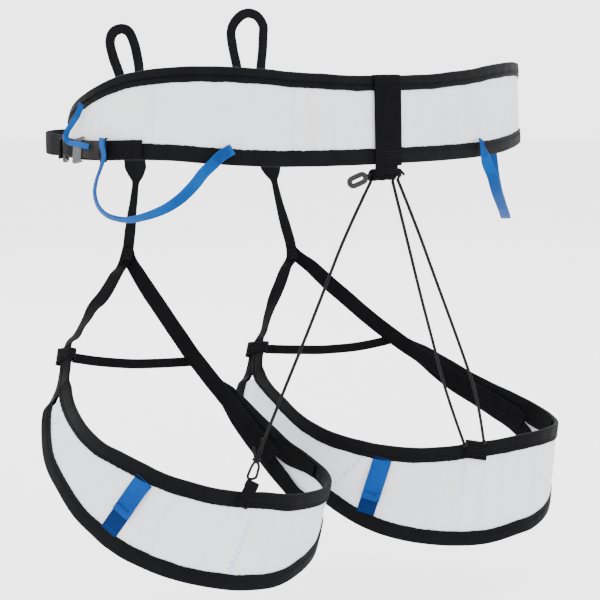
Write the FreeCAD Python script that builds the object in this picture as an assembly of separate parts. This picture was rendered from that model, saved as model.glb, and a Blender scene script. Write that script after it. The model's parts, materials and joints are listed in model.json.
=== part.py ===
import FreeCAD, Part
import os, math

os.makedirs("parts", exist_ok=True)

# Climbing harness: waist belt with two leg loops, hung as if worn.
# Millimetres.  Origin: middle of the waist opening.  +Z up, wearer faces -Y,
# wearer's left is +X.

# ---- driving dimensions ----
BELT_A = 178.0          # half width of the waist opening (lower edge)
BELT_B = 106.0          # half depth at the back
BELT_N = 2.1            # roundness of the waist line
BELT_END = 107.0        # deg from centre back where the panel stops
BIND = 10.5             # binding tape, each side of the fold
BELT_BIND_T = 9.0       # the same on the belt, upper and lower edge
BELT_BIND_B = 9.6
WALL = 0.75             # binding tape thickness
SLIT = 0.85             # half gap inside the fold
SKIN_O, SKIN_I = 0.70, 0.30
WEB_T = 1.3             # flat webbing
WEB_W = 11.5            # leg webbing width
STRAP_IN = 3.6          # wide strap, distance inside the panel at its narrow end
STRAP_W = 15.6          # front closure webbing width
STRAP_T = 1.6
CORD_R = 1.1            # elastic riser cord radius
GEAR_W = 7.5            # gear loop tape
TIE_W = 7.6             # tie-in loop webbing
TIE_T = 3.0
STRAP_Z = -24.0         # centre height of the closure webbing
FRONT_Y = -138.5
HINGE_X = 60.0          # leg risers, each side of the middle

LEG_L_TOP = [
    [159.4, -51.8, -167.0], [162.0, -48.7, -177.5], [167.3, -41.4, -187.8], [172.5, -26.8, -197.3], [176.8, -4.2, -206.6], [176.1, 18.3, -214.9],
    [170.9, 36.6, -219.8], [162.2, 51.3, -225.9], [156.3, 58.2, -230.0], [144.9, 67.0, -235.2], [126.2, 78.4, -241.6], [109.5, 85.4, -245.2],
    [92.5, 89.4, -247.3], [77.3, 90.4, -250.6], [66.7, 89.4, -252.3], [45.3, 82.6, -254.2], [28.8, 71.1, -255.5], [16.5, 56.2, -255.2],
    [8.8, 40.2, -253.6], [6.3, 24.4, -250.5], [7.2, 11.6, -246.5], [10.9, -2.0, -240.7], [16.3, -13.8, -231.4], [24.2, -26.1, -219.4],
    [35.7, -39.3, -203.1], [41.7, -45.0, -196.0]]
LEG_L_BOT = [
    [162.3, -63.6, -169.1], [169.0, -59.8, -190.5], [179.3, -56.0, -205.7], [185.0, -48.9, -221.5], [190.4, -33.2, -238.8], [191.7, -12.1, -253.1],
    [189.2, 5.5, -266.9], [183.3, 20.6, -277.4], [179.9, 29.4, -282.7], [170.6, 42.1, -290.8], [153.5, 58.3, -300.0], [137.8, 69.1, -305.5],
    [113.7, 80.4, -311.0], [88.2, 85.2, -313.1], [69.3, 83.7, -310.6], [46.3, 74.6, -303.7], [33.3, 64.1, -296.0], [23.3, 51.5, -291.0],
    [15.8, 36.0, -287.5], [13.2, 20.7, -284.0], [14.0, 8.4, -281.2], [17.5, -4.8, -272.0], [22.5, -16.1, -260.5], [30.1, -28.0, -244.6],
    [38.6, -38.2, -226.5], [45.5, -45.0, -212.0]]
LEG_R_TOP = [
    [-14.6, -70.3, -182.2], [-11.1, -67.9, -192.3], [-8.7, -63.5, -201.4], [-6.3, -50.5, -208.2], [-5.8, -35.0, -214.6], [-7.4, -15.5, -224.2],
    [-12.4, -1.1, -230.9], [-20.9, 13.4, -236.4], [-36.2, 28.9, -241.5], [-48.0, 38.3, -244.1], [-67.0, 51.5, -246.0], [-87.0, 63.3, -245.1],
    [-102.3, 70.5, -243.3], [-119.7, 76.7, -241.9], [-138.6, 80.8, -240.0], [-157.1, 81.3, -239.0], [-173.8, 77.1, -238.8], [-186.1, 68.8, -238.6],
    [-194.3, 57.3, -237.8], [-198.2, 44.4, -235.6], [-197.8, 30.3, -231.9], [-193.2, 14.6, -226.6], [-184.0, -2.4, -220.0], [-173.9, -16.0, -212.4],
    [-162.5, -28.4, -203.1], [-147.7, -41.9, -191.8], [-136.7, -50.6, -183.5]]
LEG_R_BOT = [
    [-9.8, -83.5, -184.4], [-5.7, -85.1, -202.9], [-1.4, -86.9, -213.6], [1.6, -86.6, -226.5], [3.5, -76.9, -237.0], [2.9, -54.5, -250.8],
    [-1.7, -30.6, -265.2], [-8.3, -8.9, -276.9], [-19.1, 10.2, -291.1], [-35.2, 25.5, -304.1], [-53.7, 40.0, -312.5], [-72.1, 52.3, -316.8],
    [-89.7, 62.1, -318.9], [-114.6, 72.3, -319.1], [-143.0, 77.9, -314.4], [-155.4, 77.6, -312.3], [-170.3, 73.8, -307.0], [-182.2, 65.7, -300.5],
    [-190.1, 54.6, -291.0], [-193.9, 42.1, -279.0], [-193.5, 28.5, -265.0], [-188.9, 13.3, -253.0], [-181.2, -1.4, -243.5], [-172.4, -13.8, -234.8],
    [-161.1, -26.5, -225.0], [-148.9, -38.0, -212.3], [-138.9, -46.3, -203.0]]
BELT_TOP_Z = [[0, 24.6], [6, 24.9], [11.4, 25.1], [16, 26.5], [23.3, 27.5], [31, 30.0], [40, 31.5], [48, 31.9], [55, 31.2], [63, 29.5], [71, 26.3], [78, 21.7], [85, 16.3], [92, 10.7], [100, 3.5], [106, -2.5]]
BELT_BOT_Z = [[0, -31.4], [12, -31.4], [23, -31.1], [31, -30.5], [40, -29.0], [48, -27.4], [54, -26.2], [63, -25.8], [70, -26.4], [76, -27.0], [85, -27.6], [92, -27.8], [100, -27.4], [106, -26.8]]
WIDE_L = [
    [70.0, -127.2, -115.8], [67.7, -117.7, -127.2], [64.9, -107.9, -138.1], [61.8, -97.9, -148.8], [58.9, -88.0, -159.5], [55.9, -78.0, -170.0],
    [53.0, -68.1, -180.5], [49.7, -57.9, -190.5], [46.1, -47.5, -199.9]]
WIDE_R = [
    [-78.4, -118.4, -123.2], [-84.7, -110.8, -130.3], [-90.6, -103.4, -138.1], [-96.4, -96.0, -145.9], [-102.3, -88.6, -153.5], [-108.2, -81.2, -161.2],
    [-114.1, -73.8, -168.6], [-120.2, -66.2, -175.9], [-126.4, -58.6, -183.0]]
BR_L = [
    [73.5, -129.6, -117.8], [87.1, -119.1, -125.9], [104.5, -104.7, -136.7], [118.3, -95.0, -143.1], [131.1, -84.4, -150.5], [143.3, -73.6, -157.7],
    [153.7, -63.6, -164.3], [160.1, -57.1, -168.4]]
BR_R = [
    [-74.3, -121.3, -124.0], [-65.1, -116.1, -131.2], [-53.1, -107.3, -142.5], [-40.7, -98.6, -153.7], [-30.6, -90.5, -163.4], [-21.0, -82.2, -173.0],
    [-13.4, -76.1, -180.1]]
RIS_L = [
    [58.3, -133.6, -32.6], [59.7, -132.9, -41.5], [61.0, -131.6, -53.4], [62.2, -131.0, -61.6], [66.1, -129.8, -82.5], [69.5, -128.7, -101.1],
    [71.2, -128.0, -111.5]]
RIS_R = [
    [-63.0, -134.2, -42.6], [-63.1, -133.4, -52.5], [-64.3, -132.2, -59.2], [-66.0, -130.3, -71.1], [-69.4, -126.7, -90.6], [-73.3, -122.7, -110.0],
    [-74.9, -120.9, -121.2]]
SPR_L = [
    [156.8, -56.1, -171.3], [134.1, -60.3, -176.9], [107.5, -64.7, -182.0], [82.7, -68.4, -185.0], [64.2, -70.9, -186.6], [48.3, -72.9, -187.8]]
SPR_R = [
    [-17.3, -74.5, -185.4], [-50.2, -71.2, -188.9], [-75.4, -68.4, -190.6], [-102.7, -65.2, -190.2], [-120.0, -63.2, -188.4], [-129.2, -62.2, -187.1]]
TIE_L = [
    [61.6, -138.6, -10.2], [65.5, -139.7, 6.3], [69.1, -140.7, 22.4], [73.9, -141.6, 36.1], [75.6, -142.4, 47.2], [72.7, -142.8, 53.5],
    [66.2, -143.0, 56.2], [59.6, -142.8, 54.2], [55.2, -142.2, 45.3], [52.9, -141.6, 35.2], [51.9, -140.9, 25.5], [51.2, -139.7, 6.0],
    [50.8, -138.6, -10.5]]
TIE_R = [
    [-46.6, -138.6, -8.4], [-41.1, -139.5, 7.3], [-35.9, -140.5, 26.0], [-32.6, -141.5, 42.2], [-31.6, -142.2, 54.6], [-37.5, -142.7, 63.8],
    [-46.6, -143.0, 68.3], [-55.9, -142.9, 66.2], [-61.7, -142.4, 58.5], [-61.4, -142.0, 50.7], [-59.8, -141.1, 35.9], [-57.9, -140.5, 24.2],
    [-57.6, -139.5, 7.0], [-59.4, -138.6, -8.8]]
GEAR_L = [
    [116.0, 87.6, -19.4], [122.8, 85.2, -23.5], [128.3, 83.2, -29.0], [133.9, 80.9, -34.5], [138.5, 79.0, -40.9], [143.6, 76.5, -46.8],
    [149.0, 73.6, -52.0], [154.7, 70.0, -56.4], [160.8, 65.6, -59.7], [166.4, 59.7, -62.3], [171.2, 52.4, -64.3], [175.8, 44.0, -64.2],
    [179.4, 35.2, -61.7], [181.3, 28.2, -55.9], [181.5, 25.0, -48.1], [180.7, 26.4, -39.8], [179.3, 29.5, -31.9], [177.8, 31.0, -24.0]]
GEAR_R = [
    [-81.6, 98.5, -19.7], [-80.6, 103.1, -27.7], [-83.2, 103.4, -36.0], [-89.4, 101.7, -45.1], [-98.4, 95.7, -55.8], [-114.1, 83.6, -67.5],
    [-130.3, 69.3, -76.6], [-142.9, 56.1, -81.0], [-154.2, 42.1, -80.6], [-166.9, 24.1, -74.9], [-175.5, 9.4, -65.0], [-180.3, 0.5, -55.1],
    [-183.0, -4.8, -42.4], [-182.8, -6.7, -30.9]]
KNOT_L = [
    [101.7, 92.4, -222.7]]
TIPTAPE = [
    [181.7, 9.2, 8.0], [182.2, 5.6, 1.5], [182.9, -1.5, -5.0], [183.2, -7.5, -9.8], [183.1, -10.3, -13.6], [183.3, -8.3, -16.4],
    [183.6, -2.4, -17.6], [183.3, 7.9, -18.2], [181.4, 18.4, -19.2]]
CORD_L_PTS = [
    [17.1, 102.8, -43.4], [34.7, 98.6, -77.6], [50.1, 96.6, -113.1], [66.3, 95.0, -148.4], [83.3, 93.7, -183.2], [100.4, 93.3, -218.1]]
CORD_R_PTS = [
    [-0.1, 103.8, -44.2], [-17.5, 97.8, -84.6], [-35.3, 90.6, -124.7], [-53.8, 83.9, -164.6], [-72.4, 76.4, -204.3], [-93.5, 71.6, -243.1]]
CORD_R2_PTS = [
    [-4.6, 103.4, -43.1], [-22.2, 102.5, -76.3], [-39.7, 99.0, -109.3], [-58.0, 95.0, -142.0], [-76.2, 90.5, -174.5], [-94.2, 85.1, -207.1],
    [-106.2, 78.1, -241.7]]
LOOP_PTS = [
    [104.4, 91.1, -226.3], [105.6, 89.7, -230.1], [106.9, 88.1, -235.6], [101.3, 90.8, -235.9], [100.5, 92.0, -230.4], [100.3, 93.4, -226.4]]
KEEP_L = [158.8, 56.1, -228.4]
KEEP_R = [-48.0, 38.3, -244.1]
TAB_L = [106.2, 86.4, -245.7]
TAB_R = [-105.1, 71.6, -243.2]

V = FreeCAD.Vector
VIEW = V(0.5736, 0.8192, 0.0)   # direction most of the webbing faces


def vec(p):
    return V(p[0], p[1], p[2])


def unit(v):
    l = v.Length
    return V(v.x / l, v.y / l, v.z / l)


def smooth(pts, n):
    """n points spaced evenly along a smooth curve through pts."""
    P = [vec(p) if not isinstance(p, FreeCAD.Vector) else p for p in pts]
    P = [P[0] * 2 - P[1]] + P + [P[-1] * 2 - P[-2]]
    fine = []
    for i in range(1, len(P) - 2):
        p0, p1, p2, p3 = P[i - 1], P[i], P[i + 1], P[i + 2]
        t0 = 0.0
        t1 = t0 + max(1e-6, (p1 - p0).Length) ** 0.5
        t2 = t1 + max(1e-6, (p2 - p1).Length) ** 0.5
        t3 = t2 + max(1e-6, (p3 - p2).Length) ** 0.5
        for k in range(16):
            t = t1 + (t2 - t1) * k / 16.0
            a1 = p0 * ((t1 - t) / (t1 - t0)) + p1 * ((t - t0) / (t1 - t0))
            a2 = p1 * ((t2 - t) / (t2 - t1)) + p2 * ((t - t1) / (t2 - t1))
            a3 = p2 * ((t3 - t) / (t3 - t2)) + p3 * ((t - t2) / (t3 - t2))
            b1 = a1 * ((t2 - t) / (t2 - t0)) + a2 * ((t - t0) / (t2 - t0))
            b2 = a2 * ((t3 - t) / (t3 - t1)) + a3 * ((t - t1) / (t3 - t1))
            fine.append(b1 * ((t2 - t) / (t2 - t1)) + b2 * ((t - t1) / (t2 - t1)))
    fine.append(P[-2])
    s = [0.0]
    for a, b in zip(fine, fine[1:]):
        s.append(s[-1] + (b - a).Length)
    out = []
    j = 0
    for i in range(n):
        d = s[-1] * i / (n - 1.0)
        while j < len(s) - 2 and s[j + 1] < d:
            j += 1
        f = (d - s[j]) / max(1e-9, s[j + 1] - s[j])
        out.append(fine[j] + (fine[j + 1] - fine[j]) * f)
    return out


def smooth_pair(a, b, n):
    """Two edge curves sampled together, so that pairs stay pairs."""
    P = [(vec(p), vec(q)) for p, q in zip(a, b)]
    m = [(p + q) * 0.5 for p, q in P]
    h = [(q - p) * 0.5 for p, q in P]
    s = [0.0]
    for i in range(1, len(m)):
        s.append(s[-1] + (m[i] - m[i - 1]).Length)

    def herm(arr, d):
        j = 0
        while j < len(s) - 2 and s[j + 1] < d:
            j += 1
        L = s[j + 1] - s[j]
        u = (d - s[j]) / L

        def tan(k):
            if k == 0:
                return (arr[1] - arr[0]) * (1.0 / (s[1] - s[0]))
            if k == len(s) - 1:
                return (arr[-1] - arr[-2]) * (1.0 / (s[-1] - s[-2]))
            return (arr[k + 1] - arr[k - 1]) * (1.0 / (s[k + 1] - s[k - 1]))

        m0, m1 = tan(j) * L, tan(j + 1) * L
        u2, u3 = u * u, u * u * u
        return (arr[j] * (2 * u3 - 3 * u2 + 1) + m0 * (u3 - 2 * u2 + u)
                + arr[j + 1] * (-2 * u3 + 3 * u2) + m1 * (u3 - u2))

    T, B = [], []
    for i in range(n):
        d = s[-1] * i / (n - 1.0)
        mm, hh = herm(m, d), herm(h, d)
        T.append(mm - hh)
        B.append(mm + hh)
    return T, B


def frames(T, B, sign):
    """Per station: top point, unit vector down the panel, width, outward normal."""
    out = []
    n = len(T)
    for i in range(n):
        a, b = max(0, i - 1), min(n - 1, i + 1)
        t = unit((T[b] + B[b]) - (T[a] + B[a]))
        d = B[i] - T[i]
        w = d.Length
        d = unit(d)
        nn = unit(t.cross(d)) * sign
        out.append((T[i], d, w, nn))
    return out


def loft(sections):
    wires = []
    for sec in sections:
        pts = [p for p in sec]
        wires.append(Part.makePolygon(pts + [pts[0]]))
    s = Part.makeLoft(wires, True, True)
    if s.Volume < 0:
        s.reverse()
    return s


def in_frame(f, poly):
    T, d, w, nn = f
    return [T + d * v + nn * o for v, o in poly]


def strip(fr, v0, v1, n0, n1):
    """Flat layer lying on a panel; v0, v1 may be functions of the width."""
    secs = []
    for f in fr:
        a = v0(f[2]) if callable(v0) else v0
        b = v1(f[2]) if callable(v1) else v1
        secs.append(in_frame(f, [(a, n0), (b, n0), (b, n1), (a, n1)]))
    return loft(secs)


def fold_gap(w):
    """Half slit and sideways shift of a binding where the panel gets narrow."""
    u = min(1.0, max(0.0, (27.0 - w) / 4.0))
    u = u * u * (3 - 2 * u)
    return SLIT + (0.05 - SLIT) * u, 1.75 * u


def binding(fr, top, lip=1.0, length=BIND, closing=True):
    secs = []
    for f in fr:
        g, o = fold_gap(f[2]) if closing else (SLIT, 0.0)
        if not top:
            o = -o
        h = g + WALL
        prof = [(-lip, h), (length, h), (length, g), (0, g), (0, -g), (length, -g), (length, -h), (-lip, -h)]
        if top:
            prof = [(v, q + o) for v, q in prof]
        else:
            prof = [(f[2] - v, q + o) for v, q in prof]
        secs.append(in_frame(f, prof))
    return loft(secs)


def ribbon(pts, face, width, thick, n=22, off=0.0):
    """Flat tape along pts.  face: direction its flat side looks (one or a list)."""
    C = smooth(pts, n)
    secs = []
    for i in range(n):
        a, b = max(0, i - 1), min(n - 1, i + 1)
        t = unit(C[b] - C[a])
        u = i / (n - 1.0)
        if isinstance(face[0], (list, tuple)):
            x = u * (len(face) - 1)
            j = min(int(x), len(face) - 2)
            fv = vec(face[j]) * (1 - (x - j)) + vec(face[j + 1]) * (x - j)
        else:
            fv = vec(face)
        if isinstance(width, (list, tuple)):
            x = u * (len(width) - 1)
            j = min(int(x), len(width) - 2)
            w = width[j] * (1 - (x - j)) + width[j + 1] * (x - j)
        else:
            w = width
        s = unit(fv.cross(t))
        nn = unit(t.cross(s))
        c = C[i] + nn * off
        h, k = w / 2.0, thick / 2.0
        secs.append([c + s * h + nn * k, c - s * h + nn * k, c - s * h - nn * k, c + s * h - nn * k])
    return loft(secs)


def at_table(tab, d):
    if d <= tab[0][0]:
        return tab[0][1]
    for (a, p), (b, q) in zip(tab, tab[1:]):
        if d <= b:
            return p + (q - p) * ((d - a) / (b - a))
    return tab[-1][1]


def turned(t, deg):
    """Face direction turned from the front view about the tape's own run."""
    nn = unit(VIEW - t * VIEW.dot(t))
    s = unit(VIEW.cross(t))
    a = math.radians(deg)
    return nn * math.cos(a) + s * math.sin(a)


def twisted(pts, face, width, thick, n):
    """Flat tape whose face (function of distance left, run, total) and width (table) change along it."""
    C = smooth(pts, n)
    D = [0.0]
    for a, b in zip(C, C[1:]):
        D.append(D[-1] + (b - a).Length)
    secs = []
    for i in range(n):
        a, b = max(0, i - 1), min(n - 1, i + 1)
        t = unit(C[b] - C[a])
        fv = face(D[i], D[-1], t)
        s = unit(fv.cross(t))
        nn = unit(t.cross(s))
        h, k = at_table(width, D[i]) / 2.0, thick / 2.0
        c = C[i]
        secs.append([c + s * h + nn * k, c - s * h + nn * k, c - s * h - nn * k, c + s * h - nn * k])
    return loft(secs)


def cord(pts, r):
    """Round cord: straight runs joined by tangent arcs."""
    P = [vec(p) if not isinstance(p, FreeCAD.Vector) else p for p in pts]
    edges = []
    last = P[0]
    for i in range(1, len(P) - 1):
        a, b = unit(P[i - 1] - P[i]), unit(P[i + 1] - P[i])
        turn = math.pi - a.getAngle(b)
        if turn < 0.004:
            continue
        run = min((P[i - 1] - P[i]).Length, (P[i + 1] - P[i]).Length) * 0.45
        R = run / math.tan(turn / 2.0)
        p1, p2 = P[i] + a * run, P[i] + b * run
        bis = unit(a + b)
        c = P[i] + bis * (R / math.cos(turn / 2.0))
        mid = c + unit(P[i] - c) * R
        edges.append(Part.LineSegment(last, p1).toShape())
        edges.append(Part.Arc(p1, mid, p2).toShape())
        last = p2
    edges.append(Part.LineSegment(last, P[-1]).toShape())
    path = Part.Wire(edges)
    d = unit(P[1] - P[0])
    prof = Part.Wire([Part.makeCircle(r, P[0], d)])
    s = path.makePipeShell([prof], True, True)
    if s.Volume < 0:
        s.reverse()
    return s


def box_at(c, ex, ey, ez, lx, ly, lz):
    """Block centred on c with its own axes."""
    c, ex, ey, ez = vec(c), unit(vec(ex)), unit(vec(ey)), unit(vec(ez))
    def q(i, j, k):
        return c + ex * (i * lx / 2.0) + ey * (j * ly / 2.0) + ez * (k * lz / 2.0)
    return loft([[q(-1, -1, k), q(1, -1, k), q(1, 1, k), q(-1, 1, k)] for k in (-1, 1)])


NODES = {}


def node(name, shape):
    NODES[name] = shape


# ---------------------------------------------------------------- waist belt
def sgn_pow(x, e):
    return math.copysign(abs(x) ** e, x)


def table(tab, x):
    x = abs(x)
    for (a, p), (b, q) in zip(tab, tab[1:]):
        if x <= b:
            u = (x - a) / (b - a)
            return p + (q - p) * u
    return tab[-1][1]


def belt_frame(phi):
    a = math.radians(phi)
    s, c = sgn_pow(math.sin(a), 2 / BELT_N), sgn_pow(math.cos(a), 2 / BELT_N)
    zt, zb = table(BELT_TOP_Z, phi), table(BELT_BOT_Z, phi)
    T = V((BELT_A - 3) * s, (BELT_B - 2) * c, zt)
    B = V(BELT_A * s, BELT_B * c, zb)
    e = 0.05
    a2 = math.radians(phi + e)
    a1 = math.radians(phi - e)
    t = V(BELT_A * (sgn_pow(math.sin(a2), 2 / BELT_N) - sgn_pow(math.sin(a1), 2 / BELT_N)),
          BELT_B * (sgn_pow(math.cos(a2), 2 / BELT_N) - sgn_pow(math.cos(a1), 2 / BELT_N)), 0)
    d = unit(B - T)
    nn = unit(d.cross(t))
    if nn.x * s + nn.y * c < 0:
        nn = nn * -1
    return (T, d, (B - T).Length, nn)


def belt(p0, p1, n):
    return [belt_frame(p0 + (p1 - p0) * i / (n - 1.0)) for i in range(n)]


BF = belt(-BELT_END, BELT_END, 57)
SF = [belt_frame(-BELT_END + 1)] + BF[1:-1] + [belt_frame(BELT_END - 1)]
node("belt_outer_skin", strip(SF, 1.0, lambda w: w - 1.0, SKIN_I, SKIN_O))
node("belt_inner_skin", strip(SF, 1.0, lambda w: w - 1.0, -SKIN_O, -SKIN_I))
node("belt_load_tape", strip(belt(-100, 100, 53), lambda w: w * 0.5 - 4.5, lambda w: w * 0.5 + 4.5, -0.18, 0.18))
node("belt_upper_binding", binding(BF, True, 1.0, BELT_BIND_T, False))
node("belt_lower_binding", binding(BF, False, 1.0, BELT_BIND_B, False))

# rear strap over the outside of the belt and the cord tunnel hanging from it
SP = belt(-1.4, 4.8, 5)
node("rear_spine_strap", strip(SP, -1.0, lambda w: w + 2.8, 1.7, 3.1))
tun = Part.makeBox(19.0, 6.4, 7.6, V(-1.0, 100.8, -43.2))
tun = tun.cut(Part.makeCylinder(2.6, 30.0, V(-6.0, 104.0, -39.2), V(1, 0, 0)))
node("rear_cord_tunnel", tun)
node("rear_tunnel_cord", cord([(-1.6, 104.0, -39.2), (8.0, 104.35, -39.25), (19.0, 104.0, -39.2)], CORD_R))
knot = Part.makeSphere(3.1, V(-5.1, 104.0, -38.9))
node("rear_cord_knot", knot)

# buckle at the wearer's left end of the belt
BC = (164.2, -46.6, STRAP_Z)
ES = unit(V(-0.6, -0.8, 0))      # along the strap toward the front
EN = unit(V(0.8, -0.6, 0))       # outward
EZ = V(0, 0, 1)


def buckle_pt(s, n, z=0.0):
    return vec(BC) + ES * s + EN * n + EZ * z


def prism(pts, z0, z1):
    """Outline in the buckle's own (s, n) plane, drawn between two heights."""
    a = [buckle_pt(s, n, z0) for s, n in pts]
    b = [buckle_pt(s, n, z1) for s, n in pts]
    return loft([a, b])


frame = prism([(-8.2, -1.2), (8.2, -1.2), (8.2, 1.2), (-8.2, 1.2)], -9.6, 9.6)
frame = frame.cut(prism([(-5.4, -3), (5.4, -3), (5.4, 3), (-5.4, 3)], -8.1, 8.1))
node("buckle_frame", frame)
bar = Part.makeCylinder(1.15, 15.2, buckle_pt(0, 0, -7.6), EZ)
node("buckle_slider_bar", bar)


def wrap(path, z0, z1, thick):
    """Webbing seen from above as an open path in the buckle's (s, n) plane."""
    secs = []
    n = len(path)
    for i, p in enumerate(path):
        a, b = path[max(0, i - 1)], path[min(n - 1, i + 1)]
        tx, ty = b[0] - a[0], b[1] - a[1]
        l = math.hypot(tx, ty)
        nx, ny = -ty / l, tx / l
        h = thick / 2.0
        secs.append([buckle_pt(p[0] + nx * h, p[1] + ny * h, z0), buckle_pt(p[0] + nx * h, p[1] + ny * h, z1),
                     buckle_pt(p[0] - nx * h, p[1] - ny * h, z1), buckle_pt(p[0] - nx * h, p[1] - ny * h, z0)])
    return loft(secs)


def u_turn(s_bar, side):
    """Path that goes round a buckle bar at s_bar."""
    pts = []
    for k in range(9):
        a = math.pi * (0.5 - k / 8.0)
        pts.append((s_bar + side * 2.35 * math.cos(a), 2.35 * math.sin(a)))
    return pts


# anchor webbing: along the outside of the belt end, round the rear bar, back inside
fo = [belt_frame(p) for p in (63, 70, 77, 84, 90, 96, 101, 105.5)]
out_pts = [f[0] + f[1] * (f[2] - 8.2) + f[3] * 2.75 for f in fo]
secs = []
for f in fo:
    secs.append(in_frame(f, [(f[2] - 12.0, 2.0), (f[2] - 12.0, 3.1), (f[2] - 0.2, 3.1), (f[2] - 0.2, 2.0)]))
node("buckle_anchor_tail", loft(secs))
path = [(-11.6, 3.0), (-9.6, 2.5)] + u_turn(-6.6, 1.0) + [(-9.6, -2.5), (-11.6, -3.0)]
node("buckle_anchor_loop", wrap(path, -6.8, 6.8, 0.9))
kf = [belt_frame(p) for p in (86.4, 87.9, 89.4, 90.9, 92.4)]
secs = []
for f in kf:
    secs.append(in_frame(f, [(f[2] - 13.4, 4.2), (f[2] + 3.0, 4.2), (f[2] + 3.0, 1.75), (f[2] + 2.35, 1.75),
                             (f[2] + 2.35, 3.5), (f[2] - 12.7, 3.5), (f[2] - 12.7, 1.75), (f[2] - 13.4, 1.75)]))
node("strap_keeper", loft(secs))

# front closure webbing
front = [(157.6, -55.3), (155.3, -63.5), (153.0, -78), (150.5, -96), (144.5, -113), (131, -126), (110, -134.2), (88, -138.0),
         (76, FRONT_Y), (60, FRONT_Y), (44, FRONT_Y), (26, -138.0), (0, -137.2), (-26, -138.0), (-44, FRONT_Y), (-60, FRONT_Y),
         (-76, FRONT_Y), (-88, -138.0), (-110, -134.2), (-131, -126), (-146.5, -110), (-157, -88), (-165.5, -64), (-171.3, -46), (-173.8, -36.2)]
fpts = [(x, y, STRAP_Z) for x, y in front]
C = smooth(fpts, 86)
secs = []
for i, c in enumerate(C):
    t = unit(C[min(85, i + 1)] - C[max(0, i - 1)])
    nn = V(t.y, -t.x, 0)
    h, k = STRAP_W / 2.0, STRAP_T / 2.0
    if i < 6:
        h = (13.4 + (STRAP_W - 13.4) * i / 6.0) / 2.0
    secs.append([c + EZ * h + nn * k, c - EZ * h + nn * k, c - EZ * h - nn * k, c + EZ * h - nn * k])
node("front_closure_strap", loft(secs))
node("buckle_closure_loop", wrap([(11.2, 1.7)] + u_turn(6.6, -1.0) + [(11.2, -1.7)], -6.8, 6.8, 0.9))
# far end of the closure webbing, sewn to the outside of the belt end
fe = [belt_frame(-p) for p in (106.5, 104, 101, 97, 93)]
node("closure_end_patch", strip(fe, lambda w: w - 11.0, lambda w: w + 4.6, 1.75, 3.1))
# narrow blue tape standing off the belt end
node("belt_tip_tape", ribbon(TIPTAPE, (0.5736, 0.8192, 0.0), 3.8, 0.9, 26))


def ring(x0, x1, inner_y, inner_z, wall):
    """Sewn sleeve round the closure webbing, open at both ends."""
    a = Part.makeBox(x1 - x0, inner_y + 2 * wall, inner_z + 2 * wall,
                     V(x0, FRONT_Y - inner_y / 2 - wall, STRAP_Z - inner_z / 2 - wall))
    return a.cut(Part.makeBox(x1 - x0 + 2, inner_y, inner_z, V(x0 - 1, FRONT_Y - inner_y / 2, STRAP_Z - inner_z / 2)))


node("left_tie_in_base", ring(44.5, 75.0, 2.4, 16.4, 1.4))
node("right_tie_in_base", ring(-75.0, -44.5, 2.4, 16.4, 1.4))

# ---------------------------------------------------------------- tie-in loops
base_top = STRAP_Z + 8.2 + 1.4


def lift(pts, z):
    q = [list(p) for p in pts]
    q[0][2] = z
    q[-1][2] = z
    return q


node("left_tie_in_loop", ribbon(lift(TIE_L, base_top + 1.5), (0.0, 1.0, 0.05), TIE_W, TIE_T, 34))
node("right_tie_in_loop", ribbon(lift(TIE_R, base_top + 1.5), (0.0, 1.0, 0.05), TIE_W, TIE_T, 34))

# ---------------------------------------------------------------- gear loops
def left_gear_face(d, total, t):
    return turned(t, at_table([(0, 0), (0.12, 0), (0.25, 12), (0.4, 38), (0.52, 55), (0.65, 62), (0.75, 70), (0.85, 78), (0.93, 66), (1, 58)], d / total))


ACROSS = V(-0.8192, 0.5736, 0.0)


def right_gear_face(d, total, t):
    hoop = t.cross(ACROSS)
    a, b = V(-0.4, 0.92, 0.0), V(-0.9, -0.2, 0.0)
    u = min(1.0, max(0.0, (d - 6.0) / 14.0))
    q = min(1.0, max(0.0, (total - d - 8.0) / 30.0))
    if hoop.dot(VIEW) < 0 and d < total * 0.4:
        hoop = hoop * -1
    f = a * (1 - u) + hoop * u
    return b * (1 - q) + f * q


node("left_gear_loop", twisted(GEAR_L, left_gear_face, [(0, GEAR_W), (400, GEAR_W)], 1.4, 44))
node("right_gear_loop", twisted(GEAR_R, right_gear_face, [(0, GEAR_W), (400, GEAR_W)], 1.4, 44))


def between(F, s):
    """Frame at a fractional station."""
    i = min(int(s), len(F) - 2)
    u = s - i
    a, b = F[i], F[i + 1]
    return (a[0] + (b[0] - a[0]) * u, unit(a[1] + (b[1] - a[1]) * u), a[2] + (b[2] - a[2]) * u, unit(a[3] + (b[3] - a[3]) * u))


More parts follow.
